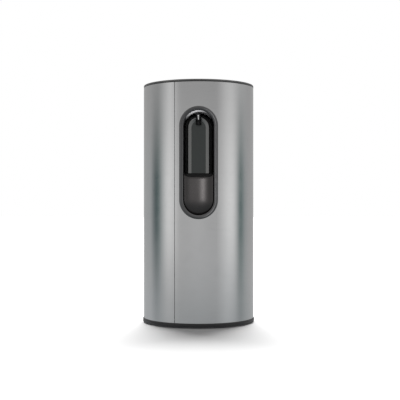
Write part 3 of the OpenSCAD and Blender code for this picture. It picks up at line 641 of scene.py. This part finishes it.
# ---------------------------------------------------------------- the two steel shells
def shell(name, az0, az1, step=1.5):
    """Part of the drum's sheet, between two azimuths in degrees."""
    n = max(8, round((az1 - az0) / step))
    rings = []
    for k in range(n + 1):
        a = math.radians(az0 + (az1 - az0) * k / n)
        s, c = math.sin(a), -math.cos(a)
        rings.append([(s * R, c * R, SKIN_Z0), (s * R, c * R, SKIN_Z1),
                      (s * (R - SKIN), c * (R - SKIN), SKIN_Z1), (s * (R - SKIN), c * (R - SKIN), SKIN_Z0)])
    return from_rings(name, rings, M["skin"], caps=(True, True))


def prism_xz(name, outline, y0, y1):
    """A cutter: an (x, z) outline from y0 to y1, in mm."""
    return from_rings(name, [[(x, y0, z) for x, z in outline], [(x, y1, z) for x, z in outline]], M["trim"],
                      caps=(True, True))


def finish_skin(ob, body, node_name):
    """Rounds a sheet's edges, unrolls it, gives it true normals and puts it in its node's place."""
    bevelled(ob, 0.28, 2, 40)
    tidy(ob.data, 40)
    cylinder_uv(ob)
    radial_normals(ob)
    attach(ob, body)
    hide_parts(node_name)
    return ob


door = shell("door_skin_sheet", SEAM + SEAM_HALF, HINGE - HINGE_GAP)
hole = [(cx + (BEZEL - 3.2) * nx, cz + (BEZEL - 3.2) * nz) for cx, cz, nx, nz in stadium()]
cut(door, [prism_xz("c", hole, -130, -50)])
finish_skin(door, "door", "door_skin")

rear = shell("rear_shell_sheet", HINGE + HINGE_GAP, 360 + SEAM - SEAM_HALF)
slots = []
for i in range(9):
    z = 73 + 8 * i
    outline = arc_points(26, z, 1.6, -90, 90, 12) + arc_points(-26, z, 1.6, 90, 270, 12)
    slots.append(prism_xz("c", outline, 80, 130))
corners = [(-PANEL_X, PANEL_Z0), (PANEL_X, PANEL_Z0), (PANEL_X, PANEL_Z1), (-PANEL_X, PANEL_Z1)]
slots.append(prism_xz("c", rounded(corners, 1.5), 80, 130))
cut(rear, slots)
finish_skin(rear, "cabinet", "rear_shell")

# ---------------------------------------------------------------- bezel, liner, paddle, nozzle, cup
def bezel_profile():
    """From the outer edge on the steel, over the lip, down into the mouth and back behind the skin."""
    pts = []
    low, crown, turn_r = 0.75, BEZEL_LIP - 0.05, 1.2
    for k in range(7):
        a = math.pi / 2 * k / 6
        pts.append((BEZEL - 0.5 * (1 - math.cos(a)), on_drum(0.12 + (low - 0.12) * math.sin(a))))
    for k in range(1, 14):
        f = k / 14
        lift = low + (crown - low) * math.sin(math.pi * f)
        pts.append((BEZEL - 0.5 - (BEZEL - 0.5 - MOUTH - turn_r) * f, on_drum(lift)))
    for k in range(0, 9):
        a = math.pi / 2 * k / 8
        drop = turn_r * (1 - math.cos(a))
        pts.append((MOUTH + turn_r - turn_r * math.sin(a), lambda x, drop=drop: on_drum(low)(x) + drop))
    pts.append((MOUTH, -104.25))
    pts.append((MOUTH + 2.0, -104.25))
    pts.append((MOUTH + 2.0, -98.3))
    pts.append((BEZEL - 3.6, -98.3))
    pts.append((BEZEL - 3.6, on_drum(0.12)))
    return pts


bezel = sweep("bezel_ring", bezel_profile(), M["bezel"], sharp=50)
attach(bezel, "door")
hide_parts("niche_bezel")

inner = MOUTH + 0.05
straight = LINER_BACK - LINER_ROUND - LINER_FRONT
liner_pts = [(inner, LINER_FRONT + straight * k / 10) for k in range(11)]
liner_pts += arc_points(inner - LINER_ROUND, LINER_BACK - LINER_ROUND, LINER_ROUND, 10, 90, 8)
liner = sweep("liner_shell", liner_pts, M["liner"], loop=False, caps=(False, True), sharp=60)
liner.data.materials.append(M["wall"])
for poly in liner.data.polygons:
    if poly.center.y / MM < LINER_BACK - LINER_ROUND - 0.5:
        poly.material_index = 1
outer_pts = [(inner + 1.7, LINER_FRONT), (inner + 1.7, -98.0), (38.1, -98.0), (38.5, -97.6), (38.5, -96.0),
             (38.1, -95.6), (inner + 2.4, -95.6), (inner + 1.75, -95.0)]
outer_pts += [(inner + 1.75, -90 + k * 4) for k in range(11)]
outer_pts += arc_points(inner - LINER_ROUND, LINER_BACK - LINER_ROUND + 0.25, LINER_ROUND + 1.75, 10, 90, 8)
shell_out = sweep("liner_out", outer_pts, M["liner"], loop=False, caps=(False, True), sharp=50)
rim_pts = [(inner, LINER_FRONT), (inner + 0.5, LINER_FRONT - 0.1), (inner + 1.2, LINER_FRONT - 0.1),
           (inner + 1.7, LINER_FRONT)]
rim = sweep("liner_rim", rim_pts, M["liner"], loop=False)
ears = []
for s in (-1, 1):
    x0, x1 = s * 16.5 - 1.8, s * 16.5 + 1.8
    outline = [(-43.8, 386.2), (-43.8, 393.8)] + arc_points(PIVOT_Y, PIVOT_Z, 3.95, 90, 270, 16)
    rings = [[(x, y, z) for y, z in outline] for x in (x0, x0 + 0.3, x1 - 0.3, x1)]
    ears.append(from_rings("ear", rings, M["liner"], caps=(True, True)))
liner = join("liner", [liner, shell_out, rim] + ears)
tidy(liner.data, 50)
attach(liner, "door")
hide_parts("niche_liner")

# paddle: a rounded plate with a shallow rim, lugs behind
pad_path = stadium(PAD_LOW, TOP_Z, 32, 14)
plate = [(0.0, PAD_Y + 1.25), (PAD_R - 6.6, PAD_Y + 1.25), (PAD_R - 6.1, PAD_Y + 1.17),
         (PAD_R - 2.3, PAD_Y + 0.1), (PAD_R - 1.9, PAD_Y)]
plate += arc_points(PAD_R - 0.7, PAD_Y + 0.7, 0.7, -90, 0, 6)
plate += [(PAD_R, PAD_Y + 5.2), (PAD_R - 0.2, PAD_Y + 5.75), (PAD_R - 0.6, PAD_Y + 5.95),
          (PAD_R - 6, PAD_Y + 5.95), (0.0, PAD_Y + 5.95)]
pad = sweep("paddle_plate", plate, M["paddle"], path=pad_path, loop=False, sharp=50)
# the rim's slope gets the lighter satin: a painted highlight round the paddle's border
pad.data.materials.append(M["paddle_edge_highlight"])
for poly in pad.data.polygons:
    c = poly.center / MM
    end_z = min(max(c.z, PAD_LOW), TOP_Z)
    reach = math.hypot(c.x, c.z - end_z)
    if reach > PAD_R - 6.5 and c.y < PAD_Y + 1.4:
        poly.material_index = 1
lugs = []
for s in (-1, 1):
    outline = [(-54.6, 386.1), (-54.6, 393.9)] + arc_points(PIVOT_Y, PIVOT_Z, 3.9, 90, -90, 16)
    rings = [[(x, y, z) for y, z in outline] for x in (s * 12 - 2, s * 12 - 1.7, s * 12 + 1.7, s * 12 + 2)]
    lugs.append(from_rings("lug", rings, M["paddle"], caps=(True, True)))
pad = join("paddle_panel", [pad] + lugs)
tidy(pad.data, 50, merge=2e-6)
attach(pad, "paddle")
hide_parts("paddle")

# torsion spring on the paddle's pin: its front leg leans on the paddle and follows it
coils = []
for k in range(6):
    x = -4 + 1.6 * k
    ring = arc_points(2.8, x, 0.85, 0, 330, 11)
    turns = [2 * math.pi * j / 40 for j in range(40)]
    rings = [[(w, PIVOT_Y + r * math.sin(a), PIVOT_Z + r * math.cos(a)) for a in turns] for r, w in ring]
    coils.append(from_rings("coil", rings, M["pin"], loop=True, sharp=50))
back_y, front_y = PIVOT_Y + 2.8, PIVOT_Y - 2.8
coils.append(tube("leg", [(-4, back_y, PIVOT_Z), (-4, back_y, PIVOT_Z - 18)], 0.6, M["pin"], segs=16))
spring = join("spring_coils", coils)
leg = tube("spring_leg", [(4, front_y, PIVOT_Z), (4, front_y, PIVOT_Z - 18)], 0.6, M["pin"], segs=16)
for ob, body in ((spring, "door"), (leg, "paddle")):
    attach(ob, body)
    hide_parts("paddle_spring")

# nozzle: stepped outside and open below, with the bright insert standing half out of its front
spout = [(1.8, NOZ_Z + 14), (1.8, NOZ_Z + 0.9), (2.3, NOZ_Z + 0.25), (2.9, NOZ_Z), (4.1, NOZ_Z),
         (4.7, NOZ_Z + 0.2), (5.0, NOZ_Z + 0.8), (5.0, NOZ_Z + 5.0), (4.86, NOZ_Z + 5.2), (4.86, NOZ_Z + 5.7),
         (5.0, NOZ_Z + 5.9), (5.0, 415.4), (7.6, 415.6), (8.0, 416.0), (8.0, 419.6), (7.6, 420.0),
         (5.0, 420.0), (5.0, 424.4), (4.6, 425.0), (3.6, 425.0), (3.6, 425.8), (3.3, 426.3), (3.6, 426.8),
         (3.6, 427.4), (3.2, 427.75), (1.8, 427.75)]
nozzle = lathe("spout", spout, M["nozzle"], centre=(0, NOZ_Y), segs=72, sharp=45)
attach(nozzle, "door")
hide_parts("nozzle")
rod = [(0.05, NOZ_Z + 9.6), (2.15, NOZ_Z + 9.6), (2.15, NOZ_Z + 19.4), (0.05, NOZ_Z + 19.4)]
ins = lathe("spout_insert", rounded(rod, [0, 0.6, 0.6, 0]), M["chrome"], centre=(0, NOZ_Y - 4), segs=48,
            closed=False)
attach(ins, "door")
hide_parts("nozzle_insert")


# drip cup: round front, flat back, rounded bottom, slanted rolled rim
def cup_section(r, deep, back_y, z, corner=2.5):
    """Plan outline of the cup at a height: half an oval in front, straight sides, rounded back corners."""
    pts = []
    for k in range(49):
        a = math.pi * k / 48
        pts.append((-r * math.cos(a), CUP_Y - deep * math.sin(a), z))
    c = min(corner, r * 0.5)
    for k in range(9):
        a = math.pi / 2 * k / 8
        pts.append((r - c + c * math.cos(a), back_y - c + c * math.sin(a), z))
    for k in range(9):
        a = math.pi / 2 + math.pi / 2 * k / 8
        pts.append((-r + c + c * math.cos(a), back_y - c + c * math.sin(a), z))
    return pts


def rim_z(x, y):
    """The rim rises gently towards the back, and in a quarter round at each side."""
    out = max(0.0, abs(x) - (MOUTH - RIM_ROUND))
    tilt = (y - (CUP_Y - CUP_OUT)) * math.tan(math.radians(RIM_TILT))
    return RIM_Z + tilt + RIM_ROUND - math.sqrt(RIM_ROUND ** 2 - out * out)


def cup_wall(r, deep, back_y, inset):
    """Rings from the bottom of the bowl up to just under the rim."""
    rings = []
    for k in range(1, 17):
        t = math.pi / 2 * k / 16
        rings.append(cup_section(r * math.sin(t), deep * math.sin(t), back_y, LOW_Z - r * math.cos(t)))
    for k in range(1, 13):
        rings.append([(x, y, LOW_Z + (rim_z(x, y) - inset - LOW_Z) * k / 12)
                      for x, y, z in cup_section(r, deep, back_y, 0)])
    return rings


outside = cup_wall(CUP_R, CUP_OUT, CUP_BACK, RIM_LIP)
inside = cup_wall(CUP_R - CUP_T, CUP_OUT - CUP_T, CUP_BACK - CUP_T, RIM_LIP)
lip = []
half = CUP_T / 2
for k in range(1, 8):
    a = math.pi * k / 8
    off = half * math.cos(a)
    plan = cup_section(CUP_R - half + off, CUP_OUT - half + off, CUP_BACK - half + off, 0)
    lip.append([(x, y, rim_z(x, y) - RIM_LIP + RIM_LIP * math.sin(a)) for x, y, z in plan])
rings = outside + lip + list(reversed(inside))
cup = from_rings("cup_body", rings, M["cup"], caps=(True, True), sharp=50)
# inside and back faces get the near-black plastic: painted shade inside the cup
cup.data.materials.append(M["cup_in"])
for poly in cup.data.polygons:
    c = poly.center / MM
    bulge = min(c.y - CUP_Y, 0) * (CUP_R - CUP_T) / (CUP_OUT - CUP_T)
    reach = Vector((c.x, bulge, min(c.z - LOW_Z, 0))).length
    if c.y > CUP_BACK - CUP_T - 0.05 or reach < CUP_R - CUP_T + 0.35:
        poly.material_index = 1
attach(cup, "drip_cup")
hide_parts("drip_cup")

# ---------------------------------------------------------------- base
prof = rounded([(107.2, 1.55), (111.6, 1.55), (111.6, 8.7), (107.2, 8.7)], [0, 1.7, 1.5, 0.3], 6)
base_floor = [(107.2, 8.4), (107.2, 13.7), (106.9, 14.0), (105.9, 14.0), (105.6, 13.7), (105.6, 4.0),
              (2.0, 4.0), (2.0, 1.5), (107.0, 1.5)]
tray = lathe("base_ring", prof[:-6] + base_floor, M["trim"], segs=240, sharp=40)
cutters = []
foot_pocket = [(0.01, -2), (FOOT_HOLE, -2), (FOOT_HOLE, 3), (0.01, 3)]
for a in FOOT_AZIMUTHS:
    s, c = math.sin(math.radians(a)), -math.cos(math.radians(a))
    cutters.append(lathe("c", foot_pocket, M["trim"], centre=(FOOT_RING * s, FOOT_RING * c), segs=48))
# air slots
for x in range(-28, 29, 8):
    cutters.append(box_mesh("c", (x - 2, 62, 0), (x + 2, 90, 8), M["trim"]))
# stepped screw holes under the posts
screw_hole = [(0.01, -1), (4, -1), (4, 3.4), (2.2, 3.4), (2.2, 8), (0.01, 8)]
for a, r in POSTS:
    s, c = math.sin(math.radians(a)), -math.cos(math.radians(a))
    cutters.append(lathe("c", screw_hole, M["trim"], centre=(r * s, r * c), segs=32))
cut(tray, cutters)
tidy(tray.data, 40)
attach(tray, "cabinet")
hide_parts("base_tray")

# ---------------------------------------------------------------- carried-over CAD nodes
FINISH = {
    "zinc": ("base_plate", "shelf", "top_plate", "board_bracket", "door_ribs", "door_edges"),
    "post": ("corner_posts",),
    "screw": ("housing_screws", "liner_screws"),
    "hinge": ("hinge_leaves_fixed", "hinge_leaves_door"),
    "pin": ("hinge_pins", "paddle_pin"),
    "alu": ("heat_sink", "cold_block"),
    "psu": ("power_supply", "pump_motor", "chiller_can"),
    "strike": ("strike_plates", "drip_grid"),
    "brass": ("inlet_pins",),
    "seal": ("rubber_feet",),
    "jamb": ("jamb_strip",),
    "cap": ("top_cap",),
    "lid": ("fill_lid",),
    "trim": ("rear_panel", "switch_frame", "power_inlet"),
    "black": ("fan_frame", "pump_head", "trigger_switch", "niche_retainer"),
    "rotor": ("fan_rotor", "switch_rocker"),
    "catch": ("magnet_catches",),
    "white": ("fill_funnel", "tank_lid", "float_stem", "filter_head", "filter_cartridge", "pump_impeller"),
    "orange": ("tank_float",),
    "red": ("trigger_plunger",),
    "foam": ("chiller_jacket",),
    "ceramic": ("peltier_module",),
    "chip": ("board_parts",),
    "pcb": ("control_board",),
    "tank": ("water_tank",),
}
EDGE_WIDTH = {"fan_rotor": 0.2, "inlet_pins": 0.3, "heat_sink": 0.2, "liner_screws": 0.12,
              "housing_screws": 0.2, "peltier_module": 0.2, "drip_grid": 0.25, "water_tank": 0.8,
              "tank_lid": 0.6, "filter_head": 0.8, "pump_head": 0.8, "power_supply": 0.5,
              "corner_posts": 0.6, "chiller_jacket": 1.2, "hinge_pins": 0.25, "strike_plates": 0.3,
              "switch_rocker": 0.3, "board_parts": 0.3}
for key, names in FINISH.items():
    for n in names:
        ob = nodes[n]
        if not ob.data.materials:
            ob.data.materials.append(M[key])
        for i in range(len(ob.data.materials)):
            ob.data.materials[i] = M[key]
        w = ob.modifiers.new("weld", "WELD")
        w.merge_threshold = 1e-6
        bv = ob.modifiers.new("soft", "BEVEL")
        bv.width = EDGE_WIDTH.get(n, 0.35) * MM
        bv.segments = 2
        bv.limit_method = "ANGLE"
        bv.angle_limit = math.radians(40)
        bv.harden_normals = False
        wn = ob.modifiers.new("normals", "WEIGHTED_NORMAL")
        wn.keep_sharp = False
        wn.weight = 80

# ---------------------------------------------------------------- hoses
# tank to filter
OUTLET = [(30, 10, 189.5), (30, 10, 184), (26, 1, 177), (10, -15, 174), (-4, -25, 175), (-8, -31, 177),
          (-8, -36, 178), (-5.7, -41.7, 178), (0, -44, 178), (5.8, -44, 178)]
# filter to pump
SUCTION = [(86.2, -44, 178), (88.5, -44, 178), (92, -43, 175.6), (93.6, -41, 170), (94, -36, 154),
           (88, -22, 60), (66, -18, 24), (20, -24, 26), (-12, -32, 64), (-12, -36, 110), (-23, -44, 130),
           (-34, -50.6, 124), (-36, -52, 112), (-36, -52, 98.1)]
# pump to chiller
PRESSURE = [(-60.2, -35, 76), (-64, -35, 76), (-68.6, -36.4, 78.4), (-70.6, -38.4, 86), (-70, -42, 100),
            (-62, -44, 130), (-42, -30, 168), (-26, -8, 186), (-16, 9, 189), (-12.4, 15, 185), (-12, 16, 178),
            (-12, 16, 172.1)]
# chiller up to the hinge
COLD = [(12, 16, 172.1), (12, 16, 179), (15, 18, 186), (24, 22, 189), (50, 32, 188), (74, 32, 188),
        (84, 29, 193), (87, 28, 206), (87, 28, 300), (87, 28, 400), (87, 26.3, 414), (87, 26, 420),
        (87, 26, 425)]
# across the hinge to the nozzle
DOOR = [(87, 26, 425.3), (87, 26, 428.5), (87.2, 23.6, 433.4), (88.4, 17, 435.6), (91, 6, 435.4),
        (94, -10, 434.4), (93, -32, 433), (78, -58, 433), (54, -74, 433.5), (32, -78, 436), (18, -74, 438.2),
        (8, -69.6, 438.6), (2, -67.4, 435.8), (0, -67, 431.5), (0, -67, 427.9)]
hoses = join("hoses", [tube("h", route, HOSE_R, M["hose"]) for route in (OUTLET, SUCTION, PRESSURE, COLD)])
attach(hoses, "cabinet")
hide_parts("water_hoses")
door_hose = tube("crossing_hose", DOOR, HOSE_R, M["hose"])
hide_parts("door_hose")
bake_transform(door_hose)

# ---------------------------------------------------------------- floor and light
def floor_mat():
    """Matt white, and clear to mirrored rays so that the studio round it is what the metal shows."""
    m, t, b = new_mat("pale_floor")
    b.inputs["Base Color"].default_value = (0.86, 0.86, 0.86, 1)
    b.inputs["Roughness"].default_value = 0.95
    b.inputs["Specular IOR Level"].default_value = 0.0
    path = node(t, "ShaderNodeLightPath")
    mix = node(t, "ShaderNodeMixShader", {0: path.outputs["Is Glossy Ray"], 1: b.outputs[0],
                                          2: node(t, "ShaderNodeBsdfTransparent").outputs[0]})
    out = next(n for n in t.nodes if n.type == "OUTPUT_MATERIAL")
    link(t, mix, out.inputs[0])
    return m


me = bpy.data.meshes.new("floor")
reach = 14.0
corners = [(-reach, -reach, 0), (reach, -reach, 0), (reach, reach, 0), (-reach, reach, 0)]
me.from_pydata(corners, [], [(0, 1, 2, 3)])
floor = add_object("floor", me, [floor_mat()])
floor.location.z = -0.0002

world = bpy.data.worlds.new("studio")
bpy.context.scene.world = world
world.use_nodes = True
wt = world.node_tree
wt.nodes.clear()


def az_ramp(stops):
    """Grey or colour by azimuth in degrees, 0 straight in front of the drum and growing towards +X."""
    ramp = node(wt, "ShaderNodeValToRGB", {0: turn})
    el = ramp.color_ramp.elements
    while len(el) > 1:
        el.remove(el[-1])
    for k, (a, v) in enumerate(stops):
        e = el[0] if k == 0 else el.new((a + 180) / 360)
        e.position = (a + 180) / 360
        e.color = (v + (1,)) if hasattr(v, "__len__") else (v, v, v, 1)
    return ramp.outputs[0]


path = node(wt, "ShaderNodeLightPath")
where = node(wt, "ShaderNodeTexCoord")
xyz = node(wt, "ShaderNodeSeparateXYZ", {0: where.outputs["Generated"]})
azimuth = maths(wt, "ARCTAN2", xyz.outputs[0], times(wt, xyz.outputs[1], -1.0))
turn = add(wt, times(wt, azimuth, 1 / (2 * math.pi)), 0.5)
# (azimuth, grey or colour) of the world at eye level, above it, just below it, and lower down
MID = [(-180, 0.47), (-118, (0.47, 0.49, 0.495)), (-110, (0.25, 0.275, 0.28)), (-103, (0.09, 0.125, 0.13)),
       (-97, (0.03, 0.078, 0.078)), (-90, (0.135, 0.19, 0.19)), (-84, (0.39, 0.425, 0.425)),
       (-76, (0.74, 0.765, 0.765)), (-68, 1.03), (-60, 1.06), (-52, 0.92), (-45, 0.73), (-38, 0.61),
       (0, 0.65), (30, 0.58), (38, 0.57), (46, 0.71), (56, 0.89), (65, 1.05), (73, 1.05), (80, 0.9),
       (86, (0.605, 0.625, 0.625)), (92, (0.215, 0.265, 0.26)), (97, (0.045, 0.11, 0.108)),
       (103, (0.17, 0.228, 0.228)), (112, (0.4, 0.425, 0.43)), (127, 0.49), (180, 0.47)]
TOP = [(-180, 0.46), (-116, 0.46), (-90, 0.42), (-72, 0.6), (-60, 0.8), (-50, 0.62), (-40, 0.43), (0, 0.43),
       (38, 0.42), (56, 0.64), (70, 0.72), (88, 0.6), (106, 0.54), (125, 0.46), (180, 0.46)]
DIM = [(-180, (0.5, 0.51, 0.515)), (-118, (0.545, 0.56, 0.565)), (-106, (0.41, 0.43, 0.44)),
       (-97, (0.32, 0.345, 0.35)), (-84, (0.46, 0.48, 0.49)), (-72, 0.6), (-60, 0.66), (-48, 0.62),
       (-38, 0.61), (0, (0.655, 0.66, 0.67)), (36, (0.625, 0.635, 0.64)), (65, (0.74, 0.755, 0.765)),
       (80, (0.65, 0.665, 0.67)), (92, (0.37, 0.4, 0.4)), (98, (0.35, 0.39, 0.39)),
       (112, (0.48, 0.505, 0.51)), (127, 0.54), (180, (0.5, 0.51, 0.515))]
LOW = [(-180, (0.51, 0.525, 0.535)), (-118, (0.53, 0.55, 0.57)), (-100, (0.43, 0.455, 0.47)),
       (-60, (0.425, 0.445, 0.455)), (-48, (0.36, 0.385, 0.395)), (0, (0.335, 0.36, 0.37)),
       (36, (0.33, 0.35, 0.36)), (60, (0.45, 0.475, 0.49)), (80, (0.41, 0.435, 0.45)),
       (98, (0.335, 0.355, 0.365)), (112, (0.4, 0.425, 0.435)), (130, (0.46, 0.48, 0.49)),
       (180, (0.51, 0.525, 0.535))]
up = xyz.outputs[2]
mid_top = mix_rgb(wt, remap(wt, up, 0.0, 1.0, 0.025, 0.125), az_ramp(MID), az_ramp(TOP))
studio = mix_rgb(wt, remap(wt, up, 1.0, 0.0, -0.085, -0.03), mid_top, az_ramp(DIM))
studio = mix_rgb(wt, remap(wt, up, 1.0, 0.0, -0.135, -0.085), studio, az_ramp(LOW))
studio = mix_rgb(wt, remap(wt, up, 0.0, 1.0, 0.25, 0.8), studio, (0.8, 0.8, 0.8, 1))
under = mix_rgb(wt, 1.0, az_ramp(LOW), (0.82, 0.82, 0.82, 1), "MULTIPLY")
studio = mix_rgb(wt, remap(wt, up, 1.0, 0.0, -0.6, -0.25), studio, under)
soft = mix_rgb(wt, path.outputs["Is Glossy Ray"], (0.22, 0.22, 0.22, 1), studio)
seen = mix_rgb(wt, path.outputs["Is Camera Ray"], soft, (1, 1, 1, 1))
bg = node(wt, "ShaderNodeBackground", {"Color": seen, "Strength": 1.0})
wt.links.new(bg.outputs[0], node(wt, "ShaderNodeOutputWorld").inputs[0])


def area(name, loc, target, size, size_y, power, thing):
    """A small soft light that shines on one piece only."""
    d = bpy.data.lights.new(name, "AREA")
    d.shape = "RECTANGLE"
    d.size, d.size_y = size, size_y
    d.energy = power
    ob = bpy.data.objects.new(name, d)
    bpy.context.scene.collection.objects.link(ob)
    ob.location = loc
    ob.rotation_euler = (Vector(target) - Vector(loc)).to_track_quat("-Z", "Y").to_euler()
    lit = bpy.data.collections.new(name + "_only")
    lit.objects.link(thing)
    ob.light_linking.receiver_collection = lit
    return ob


d = bpy.data.lights.new("overhead", "SUN")
d.energy = 6.8
d.angle = math.radians(54)
sun = bpy.data.objects.new("overhead", d)
bpy.context.scene.collection.objects.link(sun)
elevation = math.radians(46)
shine = Vector((0, -math.cos(elevation), -math.sin(elevation)))
sun.rotation_euler = shine.to_track_quat("-Z", "Y").to_euler()
sun.visible_glossy = False
fill = area("niche_fill", (0.36, -0.44, 0.05), (-0.008, -0.09, 0.413), 0.16, 0.16, 1.3, liner)
fill.visible_glossy = False
fill.data.spread = math.radians(60)
card = area("front_card", (0.084, -0.70, 0.288), (0.0075, -0.108, 0.268), 0.045, 0.075, 0.17, cup)
wide = area("wide_card", (-0.13, -0.70, 0.288), (-0.01, -0.108, 0.268), 0.20, 0.075, 0.05, cup)
side = area("ring_card", (0.25, -0.70, 0.28), (0.033, -0.105, 0.28), 0.10, 0.5, 0.5, bezel)
for lamp in (card, wide, side):
    lamp.visible_diffuse = False
    lamp.visible_camera = False

bpy.context.scene.view_settings.view_transform = "Standard"
